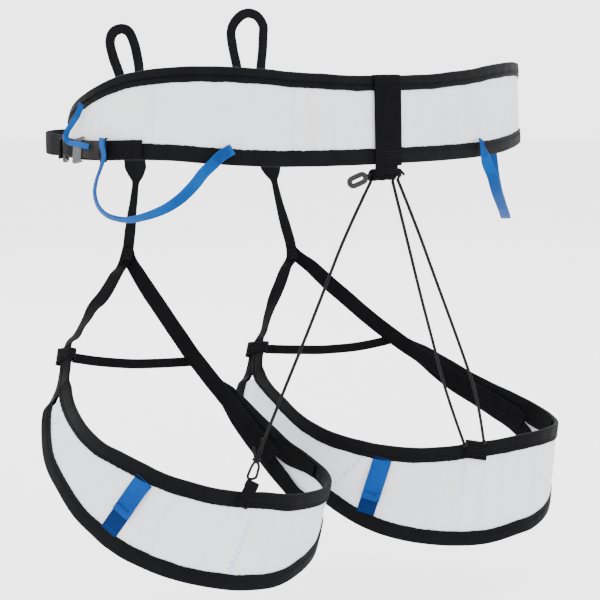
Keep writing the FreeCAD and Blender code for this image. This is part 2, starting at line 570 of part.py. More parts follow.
# ---------------------------------------------------------------- leg loops
def leg(side, TOP, BOT, WIDE, BR, RIS, SPR, flip):
    n = 66
    T, B = smooth_pair(TOP, BOT, n)
    F = frames(T, B, 1.0)
    # outward: away from the loop's middle
    cx = sum(p.x for p in T) / n
    cy = sum(p.y for p in T) / n
    m = F[n // 2]
    if m[3].x * (m[0].x - cx) + m[3].y * (m[0].y - cy) < 0:
        F = frames(T, B, -1.0)
    i0 = next(i for i in range(n) if F[i][2] > 28.0)
    i1 = max(i for i in range(n) if F[i][2] > 28.0)
    SK = F[i0:i1 + 1]
    p = side + "_leg_"
    node(p + "outer_skin", strip(SK, 1.0, lambda w: w - 1.0, SKIN_I, SKIN_O))
    node(p + "inner_skin", strip(SK, 1.0, lambda w: w - 1.0, -SKIN_O, -SKIN_I))
    node(p + "load_tape", strip(F[i0 + 3:i1 - 2], lambda w: w * 0.5 - 3.5, lambda w: w * 0.5 + 3.5, -0.18, 0.18))
    node(p + "upper_binding", binding(F, True))
    node(p + "lower_binding", binding(F, False))
    # sleeve over the narrow front end
    e0 = F[0]
    up = unit(T[0] + B[0] - T[1] - B[1])
    secs = []
    for k in (3.6, 1.6, 0.3, -2.6, -5.6):
        if k >= 0:
            f = (e0[0] + up * k, e0[1], e0[2], e0[3])
        else:
            f = between(F, -k / ((T[1] + B[1] - T[0] - B[0]) * 0.5).Length)
        w = f[2]
        secs.append(in_frame(f, [(-1.5, 3.35), (w + 1.3, 3.35), (w + 1.9, 2.7), (w + 1.9, -2.7), (w + 1.3, -3.35), (-1.5, -3.35),
                                 (-1.5, -2.85), (w + 1.3, -2.85), (w + 1.3, 2.85), (-1.5, 2.85)]))
    node(p + "end_sleeve", loft(secs))
    # webbing
    view = (0.57, 0.82, 0.0)
    back = F[-1][3]
    if back.x * view[0] + back.y * view[1] < 0:
        back = back * -1
    # wide strap: runs down and over the inner side of the panel's narrow end
    wpts = [[q[0] - view[0] * 1.6, q[1] - view[1] * 1.6, q[2]] if k < 2 else list(q) for k, q in enumerate(WIDE[:-2])]
    k1 = max(k for k in range(n) if F[k][2] >= 31.0)
    for k in range(n - 1, k1 - 1, -1):
        if k == n - 1:
            run = unit(T[-1] + B[-1] - T[-2] - B[-2])
            c = (T[k] + B[k]) * 0.5 + run * 9.0 - F[k][3] * (STRAP_IN - 1.2)
            wpts.append([c.x, c.y, c.z])
        if (n - 1 - k) % 2 == 0 or k == k1:
            c = (T[k] + B[k]) * 0.5 - F[k][3] * STRAP_IN
            wpts.append([c.x, c.y, c.z])
    tail = 0.0
    for k in range(k1, n - 1):
        tail += ((T[k + 1] + B[k + 1]) * 0.5 - (T[k] + B[k]) * 0.5).Length

    def wide_face(d, total, t):
        left = total - d
        if left > tail + 30.0:
            return VIEW
        # nearest station of the panel
        dd, k = 0.0, k1
        while k < n - 1 and dd < left:
            dd += ((T[k + 1] + B[k + 1]) * 0.5 - (T[k] + B[k]) * 0.5).Length
            k += 1
        nn = F[k][3] * -1
        if left <= tail:
            return nn
        u = (left - tail) / 30.0
        return VIEW * u + nn * (1 - u)

    node(p + "wide_strap", twisted(wpts, wide_face, [(0, 7.5), (9, 9.6), (22, 11.0), (40, WEB_W + 0.5), (400, WEB_W + 0.5)], WEB_T, 46))
    # outer branch
    sm = (T[0] + B[0]) * 0.5
    b1 = sm + up * 0.8
    b2 = sm + up * 5.0
    nn = e0[3]
    if nn.x * view[0] + nn.y * view[1] < 0:
        nn = nn * -1
    bpts = [[q[0] + view[0] * 1.2, q[1] + view[1] * 1.2, q[2]] if k < 1 else list(q) for k, q in enumerate(BR)
            if (vec(q) - sm).dot(up) > 9.0 or k < 3]
    bpts = bpts + [[b2.x, b2.y, b2.z], [b1.x, b1.y, b1.z]]

    def branch_face(d, total, t):
        u = d / total
        fv = turned(t, at_table([(0, 0), (0.05, 0), (0.13, -50), (0.22, -25), (0.4, 0), (0.6, -45), (0.8, -65), (1, -70)], u))
        en = nn if nn.dot(fv) > 0 else nn * -1
        q = min(1.0, max(0.0, (d - total + 16.0) / 13.0))
        return fv * (1 - q) + en * q

    node(p + "outer_branch", twisted(bpts, branch_face, [(0, 8.4), (25, 9.4), (80, 9.2), (110, 8.6), (400, 8.4)], WEB_T, 34))
    # riser, hinged under the sewn base
    hx = HINGE_X if side == "left" else -HINGE_X
    top = [hx, FRONT_Y + 2.0, STRAP_Z - 8.2 - 1.4 - 1.9]
    j = vec(RIS[-1])
    d = unit(vec(RIS[-1]) - vec(RIS[-2]))
    q = j - d * 6.5
    rp = [top] + [list(a) for a in RIS if a[2] < top[2] - 8 and a[2] > q.z + 4] + [[q.x, q.y, q.z]]

    def riser_face(d, total, t):
        u = min(1.0, d / (0.4 * total))
        return V(0.15, 0.99, 0) * (1 - u) + VIEW * u

    cup = 0.0 if side == "left" else 4.5
    node(p + "riser", twisted(rp, riser_face, [(0, 16.6), (12.5 + cup, 16.6), (18.5 + cup, 11.5), (23 + cup, 6.0), (26 + cup, 5.2),
                                               (42 + cup, 6.4), (60 + cup, 8.4), (400, 8.6)], 2.2, 40))
    c = j - d * 0.5 + vec(view) * 5.0
    ex = unit(vec(view).cross(d))
    node(p + "junction_bartack", box_at((c.x, c.y, c.z), (ex.x, ex.y, ex.z), (view[0], view[1], 0),
                                       (d.x, d.y, d.z), 7.6, 0.7, 9.5))
    # spreader tape from the sleeve to the wide strap
    sp = [list(a) for a in SPR]
    node(p + "spreader", ribbon(sp, (0.57, 0.82, 0.15), 7.0, 1.1, 22))
    return F, T, B


def along(F, x, y):
    """Station whose top edge is nearest a plan position."""
    return min(range(len(F)), key=lambda i: (F[i][0].x - x) ** 2 + (F[i][0].y - y) ** 2)


FL, TL, BL = leg("left", LEG_L_TOP, LEG_L_BOT, WIDE_L, BR_L, RIS_L, SPR_L, 1)
FR, TR, BR_ = leg("right", LEG_R_TOP, LEG_R_BOT, WIDE_R, BR_R, RIS_R, SPR_R, 1)


def chord_patch(F, s, half, v0, v1, n0, n1, bulge=0.0):
    """Flat piece on the outside of a panel, half = half width in mm."""
    f = between(F, s)
    g = between(F, s + 0.5)
    t = unit(g[0] - f[0])
    t = unit(t - f[1] * (t.x * f[1].x + t.y * f[1].y + t.z * f[1].z))
    def P(a, v, o):
        return f[0] + t * a + f[1] * v + f[3] * (o + bulge)
    return loft([[P(-half, v0, n0), P(half, v0, n0), P(half, v0, n1), P(-half, v0, n1)],
                 [P(-half, v1, n0), P(half, v1, n0), P(half, v1, n1), P(-half, v1, n1)]])


def panel_patch(F, s, half, v0, v1, n0, n1):
    """Piece that follows the panel round, half = half width in mm."""
    step = (between(F, s + 0.5)[0] - between(F, s - 0.5)[0]).Length
    h = half / step
    st = [s - h] + [float(k) for k in range(int(s - h) + 1, int(s + h) + 1)] + [s + h]
    secs = []
    for q in st:
        f = between(F, q)
        e = f[2] - v1
        secs.append(in_frame(f, [(v0, n0), (e, n0), (e, n1), (v0, n1)]))
    return loft(secs)


# keepers: folded flap below the upper binding, short under-tape below it
SL = float(along(FL, KEEP_L[0], KEEP_L[1]))
SR = float(along(FR, KEEP_R[0], KEEP_R[1]))
TAB_S_L = float(along(FL, TAB_L[0], TAB_L[1]))
TAB_S_R = float(along(FR, TAB_R[0], TAB_R[1]))
wl = between(FL, SL)[2]
wr = between(FR, SR)[2]
node("left_keeper_flap", chord_patch(FL, SL, 6.6, 11.4, 38.5, 2.6, 3.5))
node("left_leg_keeper_base", panel_patch(FL, SL, 6.4, 41.0, 12.0, 1.1, 1.7))
node("right_keeper_flap", chord_patch(FR, SR, 6.8, 11.4, 41.5, 2.6, 3.5))
node("right_leg_keeper_base", panel_patch(FR, SR, 6.6, 44.0, 12.0, 1.1, 1.7))

# tabs for the elastic risers, at the back of each upper binding
node("left_leg_elastic_tab", chord_patch(FL, TAB_S_L, 4.4, -9.0, 9.5, 2.1, 3.1))
node("right_leg_elastic_tab", chord_patch(FR, TAB_S_R, 8.6, -0.4, 11.2, 2.1, 3.1))
node("left_leg_cord_knot", Part.makeSphere(3.2, vec(KNOT_L[0])))
node("left_leg_cord_loop", cord(LOOP_PTS, 0.9))

# elastic riser cords
node("left_elastic_riser", cord(CORD_L_PTS, CORD_R))
node("right_elastic_riser_a", cord(CORD_R_PTS, CORD_R))
node("right_elastic_riser_b", cord(CORD_R2_PTS, CORD_R))

# small glossy release toggle at the tunnel's left end: thick oval ring with a narrow slit
TOG = (21.0, 104.2, -39.5)
TOG_L, TOG_W, TOG_T = 15.0, 8.8, 3.6
tx = unit(V(12.4, -4.4, -5.6))
tn = unit(VIEW - tx * VIEW.dot(tx))
tw = unit(tn.cross(tx))


def oval(l, w, t, c):
    m = 24
    sec = []
    for k in range(m):
        a = 2 * math.pi * k / m
        x = math.copysign((l - w) / 2.0, math.cos(a)) + w / 2.0 * math.cos(a)
        sec.append((x, w / 2.0 * math.sin(a)))
    return [[c + tx * x + tw * y + tn * (t * q) for x, y in sec] for q in (-0.5, 0.5)]


tc = vec(TOG) + tx * (TOG_L / 2.0)
mid_s = oval(TOG_L, TOG_W, TOG_T - 1.6, tc)
cap_s = oval(TOG_L - 1.6, TOG_W - 1.6, TOG_T, tc)
tog = loft([cap_s[0], mid_s[0], mid_s[1], cap_s[1]])
tog = tog.cut(loft(oval(8.0, 1.8, TOG_T + 2.0, tc)))
node("rear_release_toggle", tog)

for name, shape in sorted(NODES.items()):
    ok = shape.isValid()
    if not ok or len(shape.Solids) != 1 or shape.Volume <= 0:
        print("CHECK", name, ok, len(shape.Solids), round(shape.Volume, 2))
    s = shape.Solids[0] if len(shape.Solids) == 1 else shape
    s.exportStep("parts/" + name + ".step")
print("nodes", len(NODES))
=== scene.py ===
import json
import math

import bpy
import numpy as np
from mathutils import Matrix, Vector

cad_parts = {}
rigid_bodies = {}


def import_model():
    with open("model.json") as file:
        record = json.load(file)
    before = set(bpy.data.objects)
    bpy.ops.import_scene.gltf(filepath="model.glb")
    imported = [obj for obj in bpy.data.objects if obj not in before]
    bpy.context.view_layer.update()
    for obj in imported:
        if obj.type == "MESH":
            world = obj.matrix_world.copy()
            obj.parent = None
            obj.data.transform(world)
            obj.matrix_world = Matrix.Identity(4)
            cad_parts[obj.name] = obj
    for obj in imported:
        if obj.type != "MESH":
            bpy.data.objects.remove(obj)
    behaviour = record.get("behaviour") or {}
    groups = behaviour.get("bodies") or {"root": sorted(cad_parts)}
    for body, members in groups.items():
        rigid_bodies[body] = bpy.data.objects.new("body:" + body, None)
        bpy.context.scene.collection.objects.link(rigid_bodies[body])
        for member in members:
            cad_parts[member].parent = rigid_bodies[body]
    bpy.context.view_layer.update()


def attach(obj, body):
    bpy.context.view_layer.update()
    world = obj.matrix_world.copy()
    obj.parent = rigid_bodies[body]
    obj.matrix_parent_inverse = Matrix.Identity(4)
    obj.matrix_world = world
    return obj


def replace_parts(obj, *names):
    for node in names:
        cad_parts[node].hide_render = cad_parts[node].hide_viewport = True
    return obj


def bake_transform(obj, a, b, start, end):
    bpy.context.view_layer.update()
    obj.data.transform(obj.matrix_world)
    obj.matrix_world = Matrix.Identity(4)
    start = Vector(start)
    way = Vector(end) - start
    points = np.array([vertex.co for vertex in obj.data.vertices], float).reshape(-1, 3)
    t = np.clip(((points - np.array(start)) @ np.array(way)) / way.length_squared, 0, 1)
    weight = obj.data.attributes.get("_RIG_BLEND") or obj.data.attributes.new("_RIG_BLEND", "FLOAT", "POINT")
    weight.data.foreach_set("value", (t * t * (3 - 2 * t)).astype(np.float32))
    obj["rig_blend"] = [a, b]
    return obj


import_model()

# ------------------------------------------------------------------ dimensions (metres)
MM = 0.001
BELT_A, BELT_B, BELT_N, BELT_END = 0.178, 0.106, 2.1, 107.0
BIND, WALL, SLIT = 0.0105, 0.00075, 0.00085
STRAP_Z, FRONT_Y = -0.024, -0.1385
CORD_R = 0.0011

LEG_L_TOP = [
    [0.1594, -0.0518, -0.167], [0.162, -0.0487, -0.1775], [0.1673, -0.0414, -0.1878], [0.1725, -0.0268, -0.1973], [0.1768, -0.0042, -0.2066],
    [0.1761, 0.0183, -0.2149], [0.1709, 0.0366, -0.2198], [0.1622, 0.0513, -0.2259], [0.1563, 0.0582, -0.23], [0.1449, 0.067, -0.2352],
    [0.1262, 0.0784, -0.2416], [0.1095, 0.0854, -0.2452], [0.0925, 0.0894, -0.2473], [0.0773, 0.0904, -0.2506], [0.0667, 0.0894, -0.2523],
    [0.0453, 0.0826, -0.2542], [0.0288, 0.0711, -0.2555], [0.0165, 0.0562, -0.2552], [0.0088, 0.0402, -0.2536], [0.0063, 0.0244, -0.2505],
    [0.0072, 0.0116, -0.2465], [0.0109, -0.002, -0.2407], [0.0163, -0.0138, -0.2314], [0.0242, -0.0261, -0.2194], [0.0357, -0.0393, -0.2031],
    [0.0417, -0.045, -0.196],]
LEG_L_BOT = [
    [0.1623, -0.0636, -0.1691], [0.169, -0.0598, -0.1905], [0.1793, -0.056, -0.2057], [0.185, -0.0489, -0.2215], [0.1904, -0.0332, -0.2388],
    [0.1917, -0.0121, -0.2531], [0.1892, 0.0055, -0.2669], [0.1833, 0.0206, -0.2774], [0.1799, 0.0294, -0.2827], [0.1706, 0.0421, -0.2908],
    [0.1535, 0.0583, -0.3], [0.1378, 0.0691, -0.3055], [0.1137, 0.0804, -0.311], [0.0882, 0.0852, -0.3131], [0.0693, 0.0837, -0.3106],
    [0.0463, 0.0746, -0.3037], [0.0333, 0.0641, -0.296], [0.0233, 0.0515, -0.291], [0.0158, 0.036, -0.2875], [0.0132, 0.0207, -0.284],
    [0.014, 0.0084, -0.2812], [0.0175, -0.0048, -0.272], [0.0225, -0.0161, -0.2605], [0.0301, -0.028, -0.2446], [0.0386, -0.0382, -0.2265],
    [0.0455, -0.045, -0.212],]
LEG_R_TOP = [
    [-0.0146, -0.0703, -0.1822], [-0.0111, -0.0679, -0.1923], [-0.0087, -0.0635, -0.2014], [-0.0063, -0.0505, -0.2082], [-0.0058, -0.035, -0.2146],
    [-0.0074, -0.0155, -0.2242], [-0.0124, -0.0011, -0.2309], [-0.0209, 0.0134, -0.2364], [-0.0362, 0.0289, -0.2415], [-0.048, 0.0383, -0.2441],
    [-0.067, 0.0515, -0.246], [-0.087, 0.0633, -0.2451], [-0.1023, 0.0705, -0.2433], [-0.1197, 0.0767, -0.2419], [-0.1386, 0.0808, -0.24],
    [-0.1571, 0.0813, -0.239], [-0.1738, 0.0771, -0.2388], [-0.1861, 0.0688, -0.2386], [-0.1943, 0.0573, -0.2378], [-0.1982, 0.0444, -0.2356],
    [-0.1978, 0.0303, -0.2319], [-0.1932, 0.0146, -0.2266], [-0.184, -0.0024, -0.22], [-0.1739, -0.016, -0.2124], [-0.1625, -0.0284, -0.2031],
    [-0.1477, -0.0419, -0.1918], [-0.1367, -0.0506, -0.1835],]
LEG_R_BOT = [
    [-0.0098, -0.0835, -0.1844], [-0.0057, -0.0851, -0.2029], [-0.0014, -0.0869, -0.2136], [0.0016, -0.0866, -0.2265], [0.0035, -0.0769, -0.237],
    [0.0029, -0.0545, -0.2508], [-0.0017, -0.0306, -0.2652], [-0.0083, -0.0089, -0.2769], [-0.0191, 0.0102, -0.2911], [-0.0352, 0.0255, -0.3041],
    [-0.0537, 0.04, -0.3125], [-0.0721, 0.0523, -0.3168], [-0.0897, 0.0621, -0.3189], [-0.1146, 0.0723, -0.3191], [-0.143, 0.0779, -0.3144],
    [-0.1554, 0.0776, -0.3123], [-0.1703, 0.0738, -0.307], [-0.1822, 0.0657, -0.3005], [-0.1901, 0.0546, -0.291], [-0.1939, 0.0421, -0.279],
    [-0.1935, 0.0285, -0.265], [-0.1889, 0.0133, -0.253], [-0.1812, -0.0014, -0.2435], [-0.1724, -0.0138, -0.2348], [-0.1611, -0.0265, -0.225],
    [-0.1489, -0.038, -0.2123], [-0.1389, -0.0463, -0.203],]
BELT_TOP_Z = np.array([
    [0, 0.0246], [6, 0.0249], [11.4, 0.0251], [16, 0.0265], [23.3, 0.0275], [31, 0.03], [40, 0.0315], [48, 0.0319], [55, 0.0312], [63, 0.0295],
    [71, 0.0263], [78, 0.0217], [85, 0.0163], [92, 0.0107], [100, 0.0035], [106, -0.0025],])
BELT_BOT_Z = np.array([
    [0, -0.0314], [12, -0.0314], [23, -0.0311], [31, -0.0305], [40, -0.029], [48, -0.0274], [54, -0.0262], [63, -0.0258], [70, -0.0264], [76, -0.027],
    [85, -0.0276], [92, -0.0278], [100, -0.0274], [106, -0.0268],])
WIDE_L = [
    [0.07, -0.1272, -0.1158], [0.0677, -0.1177, -0.1272], [0.0649, -0.1079, -0.1381], [0.0618, -0.0979, -0.1488], [0.0589, -0.088, -0.1595],
    [0.0559, -0.078, -0.17], [0.053, -0.0681, -0.1805], [0.0497, -0.0579, -0.1905], [0.0461, -0.0475, -0.1999],]
WIDE_R = [
    [-0.0784, -0.1184, -0.1232], [-0.0847, -0.1108, -0.1303], [-0.0906, -0.1034, -0.1381], [-0.0964, -0.096, -0.1459], [-0.1023, -0.0886, -0.1535],
    [-0.1082, -0.0812, -0.1612], [-0.1141, -0.0738, -0.1686], [-0.1202, -0.0662, -0.1759], [-0.1264, -0.0586, -0.183],]
BR_L = [
    [0.0735, -0.1296, -0.1178], [0.0871, -0.1191, -0.1259], [0.1045, -0.1047, -0.1367], [0.1183, -0.095, -0.1431], [0.1311, -0.0844, -0.1505],
    [0.1433, -0.0736, -0.1577], [0.1537, -0.0636, -0.1643], [0.1601, -0.0571, -0.1684],]
BR_R = [
    [-0.0743, -0.1213, -0.124], [-0.0651, -0.1161, -0.1312], [-0.0531, -0.1073, -0.1425], [-0.0407, -0.0986, -0.1537], [-0.0306, -0.0905, -0.1634],
    [-0.021, -0.0822, -0.173], [-0.0134, -0.0761, -0.1801],]
RIS_L = [
    [0.0583, -0.1336, -0.0326], [0.0597, -0.1329, -0.0415], [0.061, -0.1316, -0.0534], [0.0622, -0.131, -0.0616], [0.0661, -0.1298, -0.0825],
    [0.0695, -0.1287, -0.1011], [0.0712, -0.128, -0.1115],]
RIS_R = [
    [-0.063, -0.1342, -0.0426], [-0.0631, -0.1334, -0.0525], [-0.0643, -0.1322, -0.0592], [-0.066, -0.1303, -0.0711], [-0.0694, -0.1267, -0.0906],
    [-0.0733, -0.1227, -0.11], [-0.0749, -0.1209, -0.1212],]
SPR_L = [
    [0.1568, -0.0561, -0.1713], [0.1341, -0.0603, -0.1769], [0.1075, -0.0647, -0.182], [0.0827, -0.0684, -0.185], [0.0642, -0.0709, -0.1866],
    [0.0483, -0.0729, -0.1878],]
SPR_R = [
    [-0.0173, -0.0745, -0.1854], [-0.0502, -0.0712, -0.1889], [-0.0754, -0.0684, -0.1906], [-0.1027, -0.0652, -0.1902], [-0.12, -0.0632, -0.1884],
    [-0.1292, -0.0622, -0.1871],]
TIE_L = [
    [0.0616, -0.1386, -0.0102], [0.0655, -0.1397, 0.0063], [0.0691, -0.1407, 0.0224], [0.0739, -0.1416, 0.0361], [0.0756, -0.1424, 0.0472],
    [0.0727, -0.1428, 0.0535], [0.0662, -0.143, 0.0562], [0.0596, -0.1428, 0.0542], [0.0552, -0.1422, 0.0453], [0.0529, -0.1416, 0.0352],
    [0.0519, -0.1409, 0.0255], [0.0512, -0.1397, 0.006], [0.0508, -0.1386, -0.0105],]
TIE_R = [
    [-0.0466, -0.1386, -0.0084], [-0.0411, -0.1395, 0.0073], [-0.0359, -0.1405, 0.026], [-0.0326, -0.1415, 0.0422], [-0.0316, -0.1422, 0.0546],
    [-0.0375, -0.1427, 0.0638], [-0.0466, -0.143, 0.0683], [-0.0559, -0.1429, 0.0662], [-0.0617, -0.1424, 0.0585], [-0.0614, -0.142, 0.0507],
    [-0.0598, -0.1411, 0.0359], [-0.0579, -0.1405, 0.0242], [-0.0576, -0.1395, 0.007], [-0.0594, -0.1386, -0.0088],]
GEAR_L = [
    [0.116, 0.0876, -0.0194], [0.1228, 0.0852, -0.0235], [0.1283, 0.0832, -0.029], [0.1339, 0.0809, -0.0345], [0.1385, 0.079, -0.0409],
    [0.1436, 0.0765, -0.0468], [0.149, 0.0736, -0.052], [0.1547, 0.07, -0.0564], [0.1608, 0.0656, -0.0597], [0.1664, 0.0597, -0.0623],
    [0.1712, 0.0524, -0.0643], [0.1758, 0.044, -0.0642], [0.1794, 0.0352, -0.0617], [0.1813, 0.0282, -0.0559], [0.1815, 0.025, -0.0481],
    [0.1807, 0.0264, -0.0398], [0.1793, 0.0295, -0.0319], [0.1778, 0.031, -0.024],]
GEAR_R = [
    [-0.0816, 0.0985, -0.0197], [-0.0806, 0.1031, -0.0277], [-0.0832, 0.1034, -0.036], [-0.0894, 0.1017, -0.0451], [-0.0984, 0.0957, -0.0558],
    [-0.1141, 0.0836, -0.0675], [-0.1303, 0.0693, -0.0766], [-0.1429, 0.0561, -0.081], [-0.1542, 0.0421, -0.0806], [-0.1669, 0.0241, -0.0749],
    [-0.1755, 0.0094, -0.065], [-0.1803, 0.0005, -0.0551], [-0.183, -0.0048, -0.0424], [-0.1828, -0.0067, -0.0309],]
TIPTAPE = [
    [0.1817, 0.0092, 0.008], [0.1822, 0.0056, 0.0015], [0.1829, -0.0015, -0.005], [0.1832, -0.0075, -0.0098], [0.1831, -0.0103, -0.0136],
    [0.1833, -0.0083, -0.0164], [0.1836, -0.0024, -0.0176], [0.1833, 0.0079, -0.0182], [0.1814, 0.0184, -0.0192],]
CORD_L_PTS = [
    [0.0171, 0.1028, -0.0434], [0.0347, 0.0986, -0.0776], [0.0501, 0.0966, -0.1131], [0.0663, 0.095, -0.1484], [0.0833, 0.0937, -0.1832],
    [0.1004, 0.0933, -0.2181],]
CORD_R_PTS = [
    [-0.0001, 0.1038, -0.0442], [-0.0175, 0.0978, -0.0846], [-0.0353, 0.0906, -0.1247], [-0.0538, 0.0839, -0.1646], [-0.0724, 0.0764, -0.2043],
    [-0.0935, 0.0716, -0.2431],]
CORD_R2_PTS = [
    [-0.0046, 0.1034, -0.0431], [-0.0222, 0.1025, -0.0763], [-0.0397, 0.099, -0.1093], [-0.058, 0.095, -0.142], [-0.0762, 0.0905, -0.1745],
    [-0.0942, 0.0851, -0.2071], [-0.1062, 0.0781, -0.2417],]
LOOP_PTS = [
    [0.1044, 0.0911, -0.2263], [0.1056, 0.0897, -0.2301], [0.1069, 0.0881, -0.2356], [0.1013, 0.0908, -0.2359], [0.1005, 0.092, -0.2304],
    [0.1003, 0.0934, -0.2264],]
KNOT_L = [
    [0.1017, 0.0924, -0.2227],]
KEEP_L = [0.1588, 0.0561, -0.2284]
KEEP_R = [-0.048, 0.0383, -0.2441]
TAB_L = [0.1062, 0.0864, -0.2457]
TAB_R = [-0.1051, 0.0716, -0.2432]

rng = np.random.RandomState(7)


# ------------------------------------------------------------------ curve helpers
def A(p):
    return np.array(p, float)


def unit(v):
    v = np.asarray(v, float)
    n = np.linalg.norm(v, axis=-1, keepdims=True)
    return v / np.maximum(n, 1e-12)


def dense(pts, step=0.0012, n=None):
    """Smooth centripetal curve through pts, evenly spaced."""
    P = A(pts)
    P = np.vstack([2 * P[0] - P[1], P, 2 * P[-1] - P[-2]])
    out = []
    for i in range(1, len(P) - 2):
        p0, p1, p2, p3 = P[i - 1:i + 3]
        t0 = 0.0
        t1 = t0 + max(1e-6, np.linalg.norm(p1 - p0)) ** 0.5
        t2 = t1 + max(1e-6, np.linalg.norm(p2 - p1)) ** 0.5
        t3 = t2 + max(1e-6, np.linalg.norm(p3 - p2)) ** 0.5
        for t in np.linspace(t1, t2, 40, endpoint=False):
            a1 = p0 * (t1 - t) / (t1 - t0) + p1 * (t - t0) / (t1 - t0)
            a2 = p1 * (t2 - t) / (t2 - t1) + p2 * (t - t1) / (t2 - t1)
            a3 = p2 * (t3 - t) / (t3 - t2) + p3 * (t - t2) / (t3 - t2)
            b1 = a1 * (t2 - t) / (t2 - t0) + a2 * (t - t0) / (t2 - t0)
            b2 = a2 * (t3 - t) / (t3 - t1) + a3 * (t - t1) / (t3 - t1)
            out.append(b1 * (t2 - t) / (t2 - t1) + b2 * (t - t1) / (t2 - t1))
    out.append(P[-2])
    return resample(np.array(out), step, n)


def resample(Q, step=0.0012, n=None):
    s = np.r_[0, np.cumsum(np.linalg.norm(np.diff(Q, axis=0), axis=1))]
    if n is None:
        n = max(6, int(s[-1] / step) + 1)
    t = np.linspace(0, s[-1], n)
    return np.stack([np.interp(t, s, Q[:, k]) for k in range(Q.shape[1])], 1)


def arclen(Q):
    return np.r_[0, np.cumsum(np.linalg.norm(np.diff(Q, axis=0), axis=1))]


def pair_curves(a, b, n):
    """Two edge curves sampled together (Hermite on their middle line)."""
    a, b = A(a), A(b)
    m, h = (a + b) / 2, (b - a) / 2
    s = arclen(m)

    def herm(arr, d):
        tan = np.zeros_like(arr)
        tan[0] = (arr[1] - arr[0]) / (s[1] - s[0])
        tan[-1] = (arr[-1] - arr[-2]) / (s[-1] - s[-2])
        for k in range(1, len(arr) - 1):
            tan[k] = (arr[k + 1] - arr[k - 1]) / (s[k + 1] - s[k - 1])
        j = np.clip(np.searchsorted(s, d, side="right") - 1, 0, len(s) - 2)
        L = (s[j + 1] - s[j])[:, None]
        u = ((d - s[j])[:, None]) / L
        u2, u3 = u * u, u * u * u
        return (arr[j] * (2 * u3 - 3 * u2 + 1) + tan[j] * L * (u3 - 2 * u2 + u)
                + arr[j + 1] * (-2 * u3 + 3 * u2) + tan[j + 1] * L * (u3 - u2))

    d = np.linspace(0, s[-1], n)
    mm, hh = herm(m, d), herm(h, d)
    return mm - hh, mm + hh


def blur(Q, k):
    """Running mean along the first axis, ends held."""
    if k < 1:
        return Q
    P = np.concatenate([np.repeat(Q[:1], k, 0), Q, np.repeat(Q[-1:], k, 0)])
    c = np.cumsum(np.concatenate([np.zeros((1,) + Q.shape[1:]), P]), 0)
    return (c[2 * k + 1:] - c[:-2 * k - 1]) / (2 * k + 1)


class Strip:
    """Frames along a panel: T top edge, D down, W width, N outward, s arc length."""

    def __init__(self, T, B, outward_from=None, sign=1.0, soft=6):
        self.T, self.B = T, B
        d = B - T
        self.W = np.linalg.norm(d, axis=1)
        self.D = unit(d)
        mid = (T + B) / 2
        t = unit(np.gradient(mid, axis=0))
        n = unit(np.cross(t, self.D)) * sign
        if outward_from is not None:
            k = len(T) // 2
            if np.dot(n[k], (mid[k] - A(outward_from))) < 0:
                n = -n
        self.N = unit(blur(n, soft))
        self.t = t
        self.s = arclen(mid)

    def at(self, i, v, o):
        """Point at station i (array), v down from the top, o outward."""
        return self.T[i] + self.D[i] * v[..., None] + self.N[i] * o[..., None]

    def cut(self, a, b):
        q = object.__new__(Strip)
        for k in ("T", "B", "W", "D", "N", "t", "s"):
            setattr(q, k, getattr(self, k)[a:b])
        return q


def smoothstep(x):
    x = np.clip(x, 0, 1)
    return x * x * (3 - 2 * x)


def wob(s, seed, amp, wave):
    """Gentle seeded waviness along a length."""
    r = np.random.RandomState(seed)
    out = np.zeros_like(s)
    for k in range(4):
        w = wave * (0.6 + 0.9 * r.rand())
        out += np.sin(2 * math.pi * s / w + 6.28 * r.rand()) * (0.4 + 0.6 * r.rand())
    return out * amp / 2.2


# ------------------------------------------------------------------ mesh helpers
MADE = []


def mesh_obj(name, verts, faces, uvs=None, mat=None, smooth=True):
    name = name.replace(" ", "_")
    me = bpy.data.meshes.new(name)
    me.from_pydata([tuple(v) for v in verts], [], faces)
    if uvs is not None:
        lay = me.uv_layers.new(name="UVMap")
        li = np.empty(len(me.loops), np.int32)
        me.loops.foreach_get("vertex_index", li)
        lay.data.foreach_set("uv", np.asarray(uvs, np.float32)[li].ravel())
    if smooth:
        me.polygons.foreach_set("use_smooth", [True] * len(me.polygons))
    me.update()
    o = bpy.data.objects.new(name, me)
    bpy.context.scene.collection.objects.link(o)
    MADE.append(o.name)
    if mat is not None:
        me.materials.append(mat)
    return o


def grid_mesh(name, P, UV, mat, ring=True, caps=True):
    """P[i, j] sections i of points j.  ring closes each section."""
    n, m = P.shape[:2]
    verts = P.reshape(-1, 3)
    uvs = UV.reshape(-1, 2)
    faces = []
    mm = m if ring else m - 1
    for i in range(n - 1):
        a = i * m
        for j in range(mm):
            k = (j + 1) % m
            faces.append((a + j, a + k, a + m + k, a + m + j))
    if ring and caps:
        faces.append(tuple(range(m - 1, -1, -1)))
        faces.append(tuple((n - 1) * m + j for j in range(m)))
    o = mesh_obj(name, verts, faces, uvs, mat)
    fix_normals(o)
    return o


def fix_normals(o):
    import bmesh
    bm = bmesh.new()
    bm.from_mesh(o.data)
    bmesh.ops.recalc_face_normals(bm, faces=bm.faces)
    bm.to_mesh(o.data)
    bm.free()


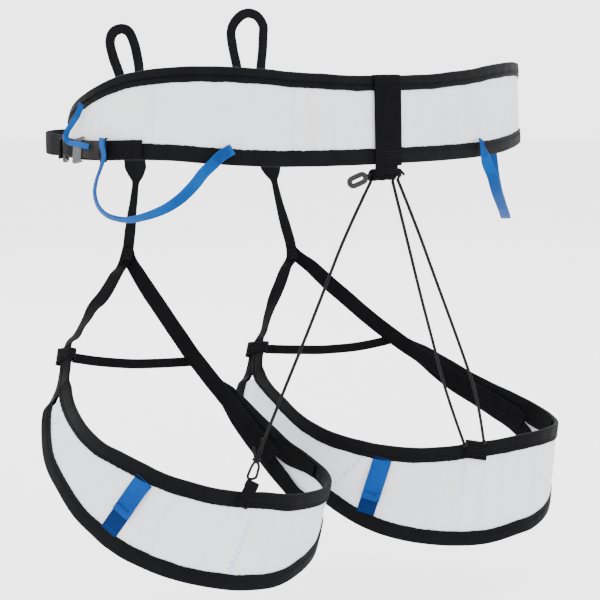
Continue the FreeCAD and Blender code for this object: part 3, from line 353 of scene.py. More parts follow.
def rounded(w, t, nflat=9, nedge=5, crown=0.0, groove=(), gd=0.0):
    """Closed section of a tape: (a, b, across) with soft edges."""
    r = t / 2
    pts = []
    for x in np.linspace(-(w / 2 - r), w / 2 - r, nflat):
        pts.append((x, 1))
    for k in range(1, nedge):
        a = math.pi / 2 - math.pi * k / nedge
        pts.append((w / 2 - r + r * math.cos(a), math.sin(a)))
    for x in np.linspace(w / 2 - r, -(w / 2 - r), nflat):
        pts.append((x, -1))
    for k in range(1, nedge):
        a = -math.pi / 2 - math.pi * k / nedge
        pts.append((-(w / 2 - r) + r * math.cos(a), math.sin(a)))
    out = []
    for x, y in pts:
        u = x / (w / 2)
        h = r * (1 + crown * (1 - u * u))
        for g in groove:
            h -= gd * math.exp(-((x - g) / 0.0007) ** 2)
        out.append((x, y * h, x))
    return np.array(out)


def tape(name, C, face, width, thick, mat, crown=0.15, groove=(), gd=0.0, wave=(0, 0.0, 0.03), nflat=9, v_off=0.0, curl=0.0):
    """Flat webbing swept along C (dense points). face: (n,3) flat-side directions."""
    n = len(C)
    t = unit(np.gradient(C, axis=0))
    F = A(face)
    if F.ndim == 1:
        F = np.repeat(F[None], n, 0)
    elif len(F) != n:
        x = np.linspace(0, len(F) - 1, n)
        F = np.stack([np.interp(x, np.arange(len(F)), F[:, k]) for k in range(3)], 1)
        F = blur(F, max(1, n // (len(A(face)) * 3)))
    S = unit(np.cross(F, t))
    N = unit(np.cross(t, S))
    s = arclen(C)
    W = np.full(n, width) if np.isscalar(width) else np.interp(np.linspace(0, 1, n), np.linspace(0, 1, len(width)), width)
    TH = np.full(n, thick) if np.isscalar(thick) else np.interp(np.linspace(0, 1, n), np.linspace(0, 1, len(thick)), thick)
    seed, amp, wl = wave
    base = rounded(1.0, 0.1, nflat, 5)
    P = np.zeros((n, len(base), 3))
    UV = np.zeros((n, len(base), 2))
    w1 = wob(s, seed + 1, amp, wl)
    w2 = wob(s, seed + 2, amp, wl)
    for i in range(n):
        sec = rounded(W[i], TH[i], nflat, 5, crown, [g * W[i] / (width if np.isscalar(width) else W[i]) for g in groove], gd)
        a, b = sec[:, 0], sec[:, 1]
        cv = curl * ((a / (W[i] / 2)) ** 2) if curl else 0.0
        P[i] = C[i] + S[i] * (a + w1[i] * 0.35)[:, None] + N[i] * (b + w2[i] + cv)[:, None]
        UV[i, :, 0] = s[i] * 1000
        UV[i, :, 1] = (sec[:, 2] + v_off) * 1000
    o = grid_mesh(name, P, UV, mat)
    return o, dict(C=C, S=S, N=N, s=s, W=W, TH=TH, t=t, w2=w2)


def tube(name, path, r, mat, sides=12, uvs=1.0):
    """Round cord on a given line; frames carried along without twist."""
    C = A(path)
    n = len(C)
    t = unit(np.gradient(C, axis=0))
    ref = np.array([0.0, 0.0, 1.0]) if abs(t[0][2]) < 0.9 else np.array([1.0, 0, 0])
    u = unit(np.cross(t[0], ref))
    s = arclen(C)
    P = np.zeros((n, sides, 3))
    UV = np.zeros((n, sides, 2))
    R = np.full(n, r) if np.isscalar(r) else np.interp(np.linspace(0, 1, n), np.linspace(0, 1, len(r)), r)
    for i in range(n):
        u = unit(u - t[i] * np.dot(u, t[i]))
        w = np.cross(t[i], u)
        for j in range(sides):
            a = 2 * math.pi * j / sides
            P[i, j] = C[i] + (u * math.cos(a) + w * math.sin(a)) * R[i]
            UV[i, j] = (s[i] * 1000, a * R[i] * 1000)
    return grid_mesh(name, P, UV, mat)


class Threads:
    """Collects sewn stitches into one mesh."""

    def __init__(self):
        self.v, self.f, self.uv = [], [], []

    def stitch(self, a, b, n, r=0.00028, rise=0.0003, sides=6):
        """One stitch from a to b standing on a surface with normal n."""
        a, b, n = A(a), A(b), unit(A(n))
        d = b - a
        L = np.linalg.norm(d)
        if L < 1e-6:
            return
        d = d / L
        side = unit(np.cross(d, n))
        base = len(self.v)
        ks = [0.0, 0.14, 0.5, 0.86, 1.0]
        hs = [-0.6, 0.55, 1.0, 0.55, -0.6]
        rs = [0.55, 0.95, 1.0, 0.95, 0.55]
        for k, h, q in zip(ks, hs, rs):
            c = a + d * (L * k) + n * (rise * h)
            for j in range(sides):
                an = 2 * math.pi * j / sides
                self.v.append(c + (side * math.cos(an) + n * math.sin(an)) * r * q)
                self.uv.append((L * k * 1000, j))
        for i in range(4):
            for j in range(sides):
                k = (j + 1) % sides
                p = base + i * sides
                self.f.append((p + j, p + k, p + sides + k, p + sides + j))
        self.f.append(tuple(base + j for j in range(sides - 1, -1, -1)))
        self.f.append(tuple(base + 4 * sides + j for j in range(sides)))

    def row(self, P, N, pitch=0.0029, fill=0.74, jitter=0.00008, **kw):
        """Running row of stitches along the points P."""
        s = arclen(P)
        k = int(s[-1] / pitch)
        for i in range(k):
            a, b = i * pitch, (i + fill) * pitch
            pa = np.array([np.interp(a, s, P[:, c]) for c in range(3)])
            pb = np.array([np.interp(b, s, P[:, c]) for c in range(3)])
            nn = np.array([np.interp((a + b) / 2, s, N[:, c]) for c in range(3)])
            self.stitch(pa + rng.randn(3) * jitter, pb + rng.randn(3) * jitter, nn, **kw)

    def zigzag(self, c, d, e, n, length, width, pitch=0.0011, **kw):
        """Dense zigzag bartack: along d, across e, on normal n."""
        c, d, e = A(c), unit(A(d)), unit(A(e))
        k = int(length / pitch)
        for i in range(k):
            a = c + d * (i * pitch - length / 2) - e * width / 2
            m = c + d * ((i + 0.5) * pitch - length / 2) + e * width / 2
            b = c + d * ((i + 1) * pitch - length / 2) - e * width / 2
            self.stitch(a, m, n, **kw)
            self.stitch(m, b, n, **kw)

    def make(self, name, mat):
        return mesh_obj(name, self.v, self.f, self.uv, mat)


# ------------------------------------------------------------------ materials
class M:
    """Small builder for a procedural material."""

    def __init__(self, name):
        self.m = bpy.data.materials.new(name)
        self.m.use_nodes = True
        self.t = self.m.node_tree
        self.t.nodes.clear()
        self.out = self.t.nodes.new("ShaderNodeOutputMaterial")
        self.uv = self.t.nodes.new("ShaderNodeUVMap").outputs[0]
        sep = self.t.nodes.new("ShaderNodeSeparateXYZ")
        self.t.links.new(self.uv, sep.inputs[0])
        self.u, self.v = sep.outputs[0], sep.outputs[1]
        self.co = self.t.nodes.new("ShaderNodeTexCoord").outputs["Object"]

    def put(self, sock, val):
        if isinstance(val, bpy.types.NodeSocket):
            self.t.links.new(val, sock)
        else:
            sock.default_value = val

    def math(self, op, a, b=0.0, c=None):
        n = self.t.nodes.new("ShaderNodeMath")
        n.operation = op
        self.put(n.inputs[0], a)
        self.put(n.inputs[1], b)
        if c is not None:
            self.put(n.inputs[2], c)
        return n.outputs[0]

    def wave(self, x, pitch):
        return self.math("SINE", self.math("MULTIPLY", x, 2 * math.pi / pitch))

    def noise(self, scale, detail=3.0, rough=0.5, co=None):
        n = self.t.nodes.new("ShaderNodeTexNoise")
        self.put(n.inputs["Vector"], self.co if co is None else co)
        n.inputs["Scale"].default_value = scale
        n.inputs["Detail"].default_value = detail
        n.inputs["Roughness"].default_value = rough
        return n.outputs[0]

    def vec(self, x, y, z=0.0):
        n = self.t.nodes.new("ShaderNodeCombineXYZ")
        self.put(n.inputs[0], x)
        self.put(n.inputs[1], y)
        self.put(n.inputs[2], z)
        return n.outputs[0]

    def step(self, x, lo, hi, a=0.0, b=1.0):
        n = self.t.nodes.new("ShaderNodeMapRange")
        n.interpolation_type = "SMOOTHSTEP"
        self.put(n.inputs[0], x)
        for k, q in zip((1, 2, 3, 4), (lo, hi, a, b)):
            n.inputs[k].default_value = q
        return n.outputs[0]

    def mix(self, f, a, b, kind="MIX"):
        n = self.t.nodes.new("ShaderNodeMix")
        n.data_type = "RGBA"
        n.blend_type = kind
        self.put(n.inputs[0], f)
        self.put(n.inputs[6], a if isinstance(a, bpy.types.NodeSocket) else tuple(a) + (1.0,))
        self.put(n.inputs[7], b if isinstance(b, bpy.types.NodeSocket) else tuple(b) + (1.0,))
        return n.outputs[2]

    def bump(self, h, strength, dist, normal=None):
        n = self.t.nodes.new("ShaderNodeBump")
        n.inputs["Strength"].default_value = strength
        n.inputs["Distance"].default_value = dist
        self.put(n.inputs["Height"], h)
        if normal is not None:
            self.put(n.inputs["Normal"], normal)
        return n.outputs[0]

    def bsdf(self, col, rough, normal=None, base=None, **k):
        b = self.t.nodes.new("ShaderNodeBsdfPrincipled")
        if base is not None:
            b.inputs["Base Color"].default_value = tuple(base) + (1.0,)
        self.put(b.inputs["Base Color"], col if isinstance(col, bpy.types.NodeSocket) else tuple(col) + (1.0,))
        self.put(b.inputs["Roughness"], rough)
        if normal is not None:
            self.put(b.inputs["Normal"], normal)
        for key, val in k.items():
            self.put(b.inputs[key.replace("_", " ")], val)
        return b.outputs[0]

    def done(self, shader):
        self.t.links.new(shader, self.out.inputs[0])
        return self.m


def weave(m, kind, pu, pv):
    """Height 0..1 of a woven surface; u runs along the tape, v across it (mm)."""
    if kind == "across":          # fine ribs across the tape
        r = m.math("ABSOLUTE", m.wave(m.u, 2 * pu))
        c = m.math("MULTIPLY_ADD", m.wave(m.v, pv), 0.5, 0.5)
        return m.math("ADD", m.math("MULTIPLY", r, 0.7), m.math("MULTIPLY", c, 0.3))
    if kind == "along":           # ribs along the tape
        r = m.math("ABSOLUTE", m.wave(m.v, 2 * pv))
        c = m.math("MULTIPLY_ADD", m.wave(m.u, pu), 0.5, 0.5)
        return m.math("ADD", m.math("MULTIPLY", r, 0.7), m.math("MULTIPLY", c, 0.3))
    if kind == "twill":
        d = m.math("ADD", m.math("MULTIPLY", m.u, 1 / pu), m.math("MULTIPLY", m.v, 1 / pv))
        w = m.math("SINE", m.math("MULTIPLY", d, 2 * math.pi))
        return m.math("MULTIPLY_ADD", w, 0.5, 0.5)
    if kind == "braid":
        a = m.math("ADD", m.math("MULTIPLY", m.u, 1 / pu), m.math("MULTIPLY", m.v, 1 / pv))
        b = m.math("SUBTRACT", m.math("MULTIPLY", m.u, 1 / pu), m.math("MULTIPLY", m.v, 1 / pv))
        wa = m.math("SINE", m.math("MULTIPLY", a, 2 * math.pi))
        wb = m.math("SINE", m.math("MULTIPLY", b, 2 * math.pi))
        return m.math("MULTIPLY_ADD", m.math("MAXIMUM", wa, wb), 0.5, 0.5)
    w = m.math("MULTIPLY", m.wave(m.u, pu), m.wave(m.v, pv))
    return m.math("MULTIPLY_ADD", w, 0.5, 0.5)


def fabric(name, dark, light, kind, pu, pv, rough=0.8, sheen=0.25, depth=0.00022, patch=0.5, strength=0.8, fleck=0.35, spec=0.3):
    m = M(name)
    h = weave(m, kind, pu, pv)
    big = m.noise(38.0, 3.0, 0.6)
    fine = m.noise(900.0, 2.0, 0.6)
    lint = m.step(m.noise(2600.0, 1.0, 0.5), 0.62, 0.74)
    k = m.math("ADD", m.math("MULTIPLY", h, 1 - patch), m.math("MULTIPLY", m.step(big, 0.38, 0.66), patch))
    k = m.math("ADD", k, m.math("MULTIPLY", m.math("SUBTRACT", fine, 0.5), fleck))
    col = m.mix(m.math("MINIMUM", m.math("MAXIMUM", k, 0.0), 1.0), dark, light)
    col = m.mix(m.math("MULTIPLY", lint, 0.10), col, tuple(min(1.0, c * 2.0 + 0.02) for c in light))
    hh = m.math("ADD", h, m.math("MULTIPLY", fine, 0.5))
    nrm = m.bump(hh, strength, depth)
    mid = tuple((a + b) / 2 for a, b in zip(dark, light))
    rg = m.math("MULTIPLY_ADD", big, 0.18, rough - 0.09)
    return m.done(m.bsdf(col, rg, nrm, base=mid, Sheen_Weight=sheen, Sheen_Roughness=0.45, Specular_IOR_Level=spec))


def laminate(name, bands=(), base=(0.66, 0.668, 0.695), through=0.26):
    """Thin white ripstop laminate; bands are sewing lines that show faintly through it.
    A band: (u at v=0, slope du/dv, zigzag half width, zigzag pitch, line, colour, amount)."""
    m = M(name)
    gu = m.step(m.math("ABSOLUTE", m.wave(m.u, 5.2)), 0.0, 0.22, 1.0, 0.0)
    gv = m.step(m.math("ABSOLUTE", m.wave(m.v, 3.0)), 0.0, 0.30, 1.0, 0.0)
    grid = m.math("MAXIMUM", m.math("MULTIPLY", gu, 0.55), gv)
    soft = m.noise(16.0, 3.0, 0.55)
    streak = m.noise(1.0, 4.0, 0.6, m.vec(m.math("MULTIPLY", m.u, 0.11), m.math("MULTIPLY", m.v, 0.012)))
    col = m.mix(m.step(soft, 0.3, 0.7), tuple(c * 0.965 for c in base), tuple(min(0.97, c * 1.05) for c in base))
    col = m.mix(m.math("MULTIPLY", m.step(streak, 0.45, 0.75), 0.35), col, (0.50, 0.52, 0.57))
    col = m.mix(m.math("MULTIPLY", grid, 0.30), col, (0.42, 0.44, 0.50))
    for u0, slope, half, pitch, line, tint, amount in bands:
        c = m.math("SUBTRACT", m.math("SUBTRACT", m.u, u0), m.math("MULTIPLY", m.v, slope))
        if pitch:
            saw = m.math("PINGPONG", m.v, pitch / 2)
            tri = m.math("MULTIPLY", m.math("SUBTRACT", saw, pitch / 4), 4 * half / pitch)
            c = m.math("SUBTRACT", c, tri)
        d = m.math("ABSOLUTE", c)
        f = m.math("MULTIPLY", m.step(d, line * 0.4, line, 1.0, 0.0), amount)
        f = m.math("MULTIPLY", f, m.step(m.noise(60.0, 2.0), 0.3, 0.6, 0.35, 1.0))
        col = m.mix(f, col, tint)
    fine = m.noise(420.0, 2.0, 0.5)
    h = m.math("ADD", m.math("MULTIPLY", grid, 0.5), m.math("MULTIPLY", fine, 0.35))
    nrm = m.bump(h, 0.35, 0.00012)
    nrm = m.bump(m.noise(55.0, 3.0, 0.5), 0.30, 0.0009, nrm)
    p = m.bsdf(col, m.math("MULTIPLY_ADD", soft, 0.2, 0.36), nrm, base=base, Sheen_Weight=0.1, Specular_IOR_Level=0.4)
    tr = m.t.nodes.new("ShaderNodeBsdfTranslucent")
    m.put(tr.inputs[0], col)
    mx = m.t.nodes.new("ShaderNodeMixShader")
    mx.inputs[0].default_value = through
    m.t.links.new(p, mx.inputs[1])
    m.t.links.new(tr.outputs[0], mx.inputs[2])
    return m.done(mx.outputs[0])


def metal(name, col, rough):
    m = M(name)
    big = m.noise(140.0, 4.0, 0.6)
    fine = m.noise(2400.0, 2.0, 0.6)
    c = m.mix(m.step(big, 0.35, 0.7), tuple(x * 0.8 for x in col), tuple(min(1, x * 1.15) for x in col))
    wear = m.step(m.noise(420.0, 3.0, 0.7), 0.60, 0.72)
    c = m.mix(m.math("MULTIPLY", wear, 0.25), c, (0.22, 0.22, 0.23))
    nrm = m.bump(m.math("ADD", fine, big), 0.35, 0.00008)
    return m.done(m.bsdf(c, m.math("MULTIPLY_ADD", big, 0.2, rough), nrm, base=col, Metallic=0.85))


BLACK_D, BLACK_L = (0.0010, 0.0010, 0.0013), (0.0032, 0.0032, 0.0038)
MAT_BIND = fabric("binding_twill", (0.0005, 0.0005, 0.0007), (0.0026, 0.0028, 0.0035), "twill", 1.7, 1.25, rough=0.60, patch=0.35, depth=0.00022, sheen=0.0, spec=0.045)
MAT_WEB = fabric("webbing_black", BLACK_D, BLACK_L, "across", 0.8, 1.1, rough=0.80, sheen=0.0, spec=0.05)
MAT_WEB2 = fabric("webbing_flat", (0.0010, 0.0010, 0.0012), (0.0028, 0.0028, 0.0034), "plain", 1.1, 0.9, rough=0.84, sheen=0.0, spec=0.04)
# black webbing; the light brownish-grey colour of its ribs is painted sheen
MAT_RIB_PAINTED_SHEEN = fabric("webbing_ribbed_painted_sheen", (0.003, 0.0026, 0.0027), (0.022, 0.019, 0.018), "across", 1.25, 1.0, rough=0.7, depth=0.0004, sheen=0.0, spec=0.08)
MAT_BLUE = fabric("tape_blue", (0.0, 0.016, 0.085), (0.0, 0.052, 0.21), "across", 0.85, 1.0, rough=0.6, sheen=0.0, spec=0.06, patch=0.35, depth=0.0002, fleck=0.2)
MAT_KEEP = fabric("keeper_blue", (0.0, 0.013, 0.080), (0.0, 0.042, 0.20), "along", 0.9, 1.05, rough=0.62, sheen=0.0, spec=0.06, patch=0.25, depth=0.00026, fleck=0.2)
# the keeper blue darkened: painted shade for the tape under the flap
MAT_KEEP_SHADED = fabric("keeper_blue_painted_shade", (0.0, 0.005, 0.032), (0.0, 0.015, 0.085), "along", 0.9, 1.05, rough=0.7, sheen=0.0, spec=0.06, patch=0.3, depth=0.00026, fleck=0.2)
MAT_TACK_B = fabric("thread_blue", (0.0, 0.016, 0.09), (0.0, 0.038, 0.18), "across", 0.4, 0.4, rough=0.5, depth=0.00005, sheen=0.0, spec=0.08)
MAT_LOAD = fabric("load_tape_weave", (0.50, 0.54, 0.62), (0.70, 0.73, 0.78), "across", 1.0, 1.0, rough=0.75)
MAT_THREAD = fabric("thread_black", (0.0012, 0.0012, 0.0015), (0.0050, 0.0050, 0.0062), "across", 0.4, 0.5, rough=0.55, depth=0.00005, sheen=0.0, spec=0.08)
MAT_CORD = fabric("elastic_braid", (0.0014, 0.0014, 0.0015), (0.0075, 0.0070, 0.0072), "braid", 1.5, 3.45, rough=0.6, patch=0.15, depth=0.00022, sheen=0.0, spec=0.045)
MAT_METAL = metal("buckle_alloy", (0.055, 0.056, 0.060), 0.42)
MAT_BAR = fabric("bar_webbing", (0.004, 0.004, 0.0045), (0.016, 0.014, 0.014), "along", 0.8, 0.7, rough=0.7, depth=0.0003, sheen=0.0, spec=0.08)


def glossy_black(name):
    m = M(name)
    big = m.noise(220.0, 3.0, 0.5)
    col = m.mix(m.step(big, 0.3, 0.7), (0.0015, 0.0015, 0.002), (0.004, 0.004, 0.005))
    nrm = m.bump(big, 0.15, 0.0002)
    return m.done(m.bsdf(col, m.math("MULTIPLY_ADD", big, 0.12, 0.24), nrm, base=(0.003, 0.003, 0.004), Specular_IOR_Level=0.25))


MAT_GLOSS = glossy_black("toggle_gloss")

# ------------------------------------------------------------------ the panels
def pow_s(x, e):
    return np.sign(x) * np.abs(x) ** e


def belt_strip(p0, p1, step=0.0012, extra=0.0):
    ph = np.linspace(p0, p1, 1600)
    a = np.radians(ph)
    s, c = pow_s(np.sin(a), 2 / BELT_N), pow_s(np.cos(a), 2 / BELT_N)
    k = 22
    zt = np.interp(np.abs(ph), BELT_TOP_Z[:, 0], BELT_TOP_Z[:, 1])
    zb = np.interp(np.abs(ph), BELT_BOT_Z[:, 0], BELT_BOT_Z[:, 1])
    zt, zb = blur(zt, k), blur(zb, k)
    T = np.stack([(BELT_A - 0.003) * s, (BELT_B - 0.002) * c, zt], 1)
    B = np.stack([BELT_A * s, BELT_B * c, zb], 1)
    both = resample(np.hstack([T, B]), step * 1.42)
    st = Strip(both[:, :3], both[:, 3:], outward_from=(0, -0.02, 0))
    return st


def leg_strip(top, bot, step=0.0012):
    T, B = pair_curves(top, bot, 900)
    both = resample(np.hstack([T, B]), step * 1.42)
    far = arclen((both[:, :3] + both[:, 3:]) / 2)
    e = 0.0026 * smoothstep(1 - (far[-1] - far) / 0.020)[:, None]
    d = unit(both[:, 3:] - both[:, :3])
    both = np.hstack([both[:, :3] + d * e, both[:, 3:] - d * e])
    c = both[:, :3].mean(0)
    return Strip(both[:, :3], both[:, 3:], outward_from=c, soft=10)


def mirrored_section(v_out, n_out, v_in, n_in):
    """Closed U: outer face from rim round the fold to the other rim, then back inside."""
    v = np.r_[v_out, v_out[::-1][1:], v_in, v_in[::-1][1:]]
    n = np.r_[n_out, -n_out[::-1][1:], -n_in, n_in[::-1][1:]]
    return v, n


def binding(name, st, top, seed, mat, length=BIND, nodes=(), thr=None, closing=True):
    """Folded tape over a panel edge, puckered by its row of sewing."""
    n = len(st.s)
    w = st.W
    u = smoothstep((0.027 - w) / 0.004) * (1.0 if closing else 0.0)
    gap = SLIT + (0.00005 - SLIT) * u
    off = 0.00175 * u * (1 if top else -1)
    seam = length - 0.0029
    fold = np.linspace(0, math.pi / 2, 7)
    # rim, inner flat, groove of the seam, body, fold
    vo = np.r_[length, length - 0.0002, length - 0.0009, length - 0.0018, seam + 0.0004, seam, seam - 0.0004, seam - 0.0012,
               0.0052, 0.0036, 0.0020, 0.0008, 0.0002 - 0.0012 * np.sin(fold)]
    ho = np.r_[0.35, 0.85, 1.05, 1.02, 0.72, 0.55, 0.72, 1.08, 1.18, 1.2, 1.14, 1.06, 1.0 * np.cos(fold)]
    vi = np.r_[0.0000, 0.0004, 0.0030, length - 0.0003]
    hi = np.r_[0.0, 1.0, 1.0, 1.0]
    ko = len(vo)
    rr = np.random.RandomState(seed)
    rim = wob(st.s, seed, 0.00022, 0.004) + wob(st.s, seed + 9, 0.0002, 0.021)
    lean = wob(st.s, seed + 3, 0.00010, 0.03)
    P = []
    UV = []
    sides = [(1, vo, ho, True), (-1, vo[::-1][1:], ho[::-1][1:], True), (-1, vi[::-1], hi[::-1], False), (1, vi[1:], hi[1:], False)]
    ph0 = rr.rand() * 6.28
    for sg, vv, hh, outer in sides:
        for v, h in zip(vv, hh):
            if outer:
                half = (gap + WALL * h) if v > 0.0002 else (gap + WALL) * h
                puck = np.sin(2 * math.pi * st.s / 0.0029 + ph0) * 0.00007 * math.exp(-((v - seam) / 0.0016) ** 2)
                puck = puck + wob(st.s, seed + 20 + (3 if sg > 0 else 5), 0.00011, 0.013) * math.exp(-((v - 0.004) / 0.004) ** 2)
                half = half + (puck if v > 0.0004 else 0)
            else:
                half = gap * h * np.ones(n)
            vv2 = v + (rim if v > length - 0.0012 else 0) + (lean if v < 0 else 0)
            o = sg * half + off
            vd = vv2 if top else (w - vv2)
            P.append(st.T + st.D * (vd * np.ones(n))[:, None] + st.N * (o * np.ones(n))[:, None])
            UV.append(np.stack([st.s * 1000, np.full(n, (v if sg > 0 else -v - 0.004) * 1000)], 1))
    P = np.stack(P, 1)
    UV = np.stack(UV, 1)
    ob = grid_mesh(name, P, UV, mat)
    if thr is not None:
        for sg in (1, -1):
            vd = seam if top else (w - seam)
            o = sg * (gap + WALL * 0.60) + off
            L = st.T + st.D * (vd * np.ones(n))[:, None] + st.N * (o * np.ones(n))[:, None]
            thr.row(L, st.N * sg, r=0.00022, rise=0.00022)
    if nodes:
        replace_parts(ob, *nodes)
    return ob


def panel(name, st, n0, n1, seed, mat, nodes, u0=0.0, rows=26, amp=0.00022):
    """Thin laminate skin between the bindings, softly rippled."""
    n = len(st.s)
    v = np.linspace(0.001, 1.0, rows)
    ripple = np.zeros((n, rows))
    for k in range(rows):
        f = math.sin(math.pi * k / (rows - 1.0))
        ripple[:, k] = wob(st.s + 0.004 * math.sin(k * 0.31), seed, amp, 0.045) * f
    vv = 0.001 + (st.W[:, None] - 0.002) * np.linspace(0, 1, rows)[None]
    P1 = st.T[:, None] + st.D[:, None] * vv[..., None] + st.N[:, None] * (n1 + ripple)[..., None]
    P0 = st.T[:, None] + st.D[:, None] * vv[..., None] + st.N[:, None] * (n0 + ripple)[..., None]
    P = np.concatenate([P1, P0[:, ::-1]], 1)
    uv = np.stack([np.repeat(((st.s - u0) * 1000)[:, None], rows, 1), vv * 1000], 2)
    UV = np.concatenate([uv, uv[:, ::-1]], 1)
    ob = grid_mesh(name, P, UV, mat)
    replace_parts(ob, *nodes)
    area = float(np.sum((st.W[1:] + st.W[:-1]) / 2 * np.diff(st.s))) - 0.002 * float(st.s[-1])
    return ob, area


def sleeve(name, outer, inner, mat, u_len=None):
    """Tube with walls: outer and inner are [n, m, 3]."""
    n, m = outer.shape[:2]
    verts = np.concatenate([outer.reshape(-1, 3), inner.reshape(-1, 3)])
    k0 = n * m
    s = arclen(outer[:, 0])
    around = arclen(np.vstack([outer[0], outer[0][:1]]))[:m]
    uv = np.stack([np.repeat(s[:, None], m, 1), np.repeat(around[None], n, 0)], 2).reshape(-1, 2) * 1000
    uvs = np.concatenate([uv, uv])
    F = []
    for i in range(n - 1):
        for j in range(m):
            k = (j + 1) % m
            F.append((i * m + j, i * m + k, (i + 1) * m + k, (i + 1) * m + j))
            F.append((k0 + i * m + j, k0 + (i + 1) * m + j, k0 + (i + 1) * m + k, k0 + i * m + k))
    for j in range(m):
        k = (j + 1) % m
        F.append((j, k0 + j, k0 + k, k))
        e = (n - 1) * m
        F.append((e + j, e + k, k0 + e + k, k0 + e + j))
    o = mesh_obj(name, verts, F, uvs, mat)
    fix_normals(o)
    return o


def rrect(w, h, r, k=5):
    """Rounded rectangle outline, m points, centred."""
    pts = []
    for cx, cy, a0 in ((w / 2 - r, h / 2 - r, 0), (-w / 2 + r, h / 2 - r, 90), (-w / 2 + r, -h / 2 + r, 180), (w / 2 - r, -h / 2 + r, 270)):
        for q in range(k + 1):
            a = math.radians(a0 + 90.0 * q / k)
            pts.append((cx + r * math.cos(a), cy + r * math.sin(a)))
    return np.array(pts)


def densify(o, k):
    """Evenly subdivide a closed outline."""
    q = np.vstack([o, o[:1]])
    return resample(q, n=k + 1)[:-1]


THR = Threads()          # black sewing on the belt
THR_L, THR_R = Threads(), Threads()
THR_BELT_BLUE = Threads()

# ---- waist belt
BS = belt_strip(-BELT_END, BELT_END)
mid0 = float(np.interp(0, [0, 1], [0, 0]))
i_mid = int(np.argmin(np.abs(BS.T[:, 0]) + (BS.T[:, 1] < 0)))
S0 = BS.s[i_mid]


def at_phi(phi):
    """Station index of the belt nearest a parametric angle."""
    a = math.radians(phi)
    p = np.array([BELT_A * pow_s(np.sin(a), 2 / BELT_N), BELT_B * pow_s(np.cos(a), 2 / BELT_N)])
    return int(np.argmin(np.sum((BS.B[:, :2] - p) ** 2, 1)))


def u_phi(phi):
    return (BS.s[at_phi(phi)] - S0) * 1000


BLUE_T, PINK_T = (0.22, 0.36, 0.62), (0.66, 0.46, 0.50)
MAT_BELT = laminate("laminate_belt", [
    (u_phi(24.5), 0.0, 1.6, 2.6, 0.75, BLUE_T, 0.34),
    (u_phi(-14.0), 0.0, 1.3, 2.6, 0.6, BLUE_T, 0.30),
    (u_phi(20.0), 0.0, 0.0, 0.0, 2.6, PINK_T, 0.22),
    (u_phi(23.5), 0.0, 0.0, 0.0, 4.5, (0.62, 0.70, 0.82), 0.16),
])
binding("belt upper binding tape", BS, True, 11, MAT_BIND, length=0.0090, closing=False, nodes=("belt_upper_binding",), thr=THR)
binding("belt lower binding tape", BS, False, 12, MAT_BIND, length=0.0096, closing=False, nodes=("belt_lower_binding",), thr=THR)
BSK = BS.cut(4, len(BS.s) - 4)
belt_out, belt_area = panel("belt outer laminate", BSK, 0.00034, 0.00070, 31, MAT_BELT, ("belt_outer_skin",), u0=S0)
belt_in, _ = panel("belt inner laminate", BSK, -0.00070, -0.00034, 31, MAT_BELT, ("belt_inner_skin",), u0=S0)


def inlay(name, st, half, mat, node):
    n = len(st.s)
    v = np.linspace(-half, half, 9)
    vv = st.W[:, None] * 0.5 + v[None]
    up = 0.00016 * (1 - (v / half) ** 6)
    P1 = st.T[:, None] + st.D[:, None] * vv[..., None] + st.N[:, None] * np.repeat(up[None], n, 0)[..., None]
    P0 = st.T[:, None] + st.D[:, None] * vv[..., None] - st.N[:, None] * np.repeat(up[None], n, 0)[..., None]
    P = np.concatenate([P1, P0[:, ::-1][:, 1:-1]], 1)
    uv = np.stack([np.repeat((st.s * 1000)[:, None], 9, 1), vv * 1000], 2)
    UV = np.concatenate([uv, uv[:, ::-1][:, 1:-1]], 1)
    o = grid_mesh(name, P, UV, mat)
    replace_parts(o, node)
    return o


a, b = at_phi(-100), at_phi(100)
inlay("belt load tape", BS.cut(min(a, b), max(a, b)), 0.0045, MAT_LOAD, "belt_load_tape")


# ------------------------------------------------------------------ strap over the back of the belt
def on(st, i, v, o):
    return st.T[i] + st.D[i] * v + st.N[i] * o


isp = at_phi(1.7)
Wsp = BS.W[isp]
pts, fac = [], []
prof = [(0.011, -2.25), (0.006, -2.3), (0.001, -2.25), (-0.0006, -1.75), (-0.0010, -0.4), (-0.0010, 0.6), (-0.0007, 1.75), (0.0010, 2.4)]
prof += [(v, 2.45) for v in np.linspace(0.006, Wsp - 0.006, 12)]
prof += [(Wsp - 0.001, 2.4), (Wsp + 0.0022, 2.3)]
C = dense([on(BS, isp, v, o * MM) for v, o in prof], 0.0008)
t = unit(np.gradient(C, axis=0))
tan = unit(BS.t[isp])
FN = unit(np.cross(t, tan))
if np.dot(FN[len(FN) // 2], BS.N[isp]) < 0:
    FN = -FN
o, info = tape("rear spine strap", C, FN, 0.0218, 0.0013, MAT_WEB2, crown=0.1, wave=(5, 0.00008, 0.012), nflat=15)
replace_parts(o, "rear_spine_strap")
for v in (0.0072, 0.0030, Wsp - 0.0072, Wsp - 0.0034):
    for k in (-1,):
        p = on(BS, isp, v, 0.0031)
        L = np.stack([p + tan * q for q in np.linspace(-0.0100, 0.0100, 30)])
        THR.row(L, np.repeat(BS.N[isp][None], 30, 0), pitch=0.0015, r=0.00020, rise=0.00018)

# cord tunnel: webbing folded round the riser cord below the belt
nx, m = 30, 48
xs = np.linspace(-0.0010, 0.0180, nx)
out_o = densify(rrect(0.0060, 0.0078, 0.0024), m)
out, inn = np.zeros((nx, m, 3)), np.zeros((nx, m, 3))
for i, x in enumerate(xs):
    bulge = 1.0 + 0.04 * math.sin(x * 900) - 0.05 * (abs(i - nx / 2) > nx / 2 - 2)
    for j in range(m):
        yy, zz = out_o[j]
        out[i, j] = (x + 0.0003 * math.sin(zz * 1500), 0.1040 + yy * bulge, -0.0394 + zz * bulge)
        a = math.atan2(zz, yy)
        inn[i, j] = (x, 0.1040 + 0.0022 * math.cos(a), -0.0393 + 0.0022 * math.sin(a))
o = sleeve("rear cord tunnel", out, inn, MAT_WEB2)
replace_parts(o, "rear_cord_tunnel")
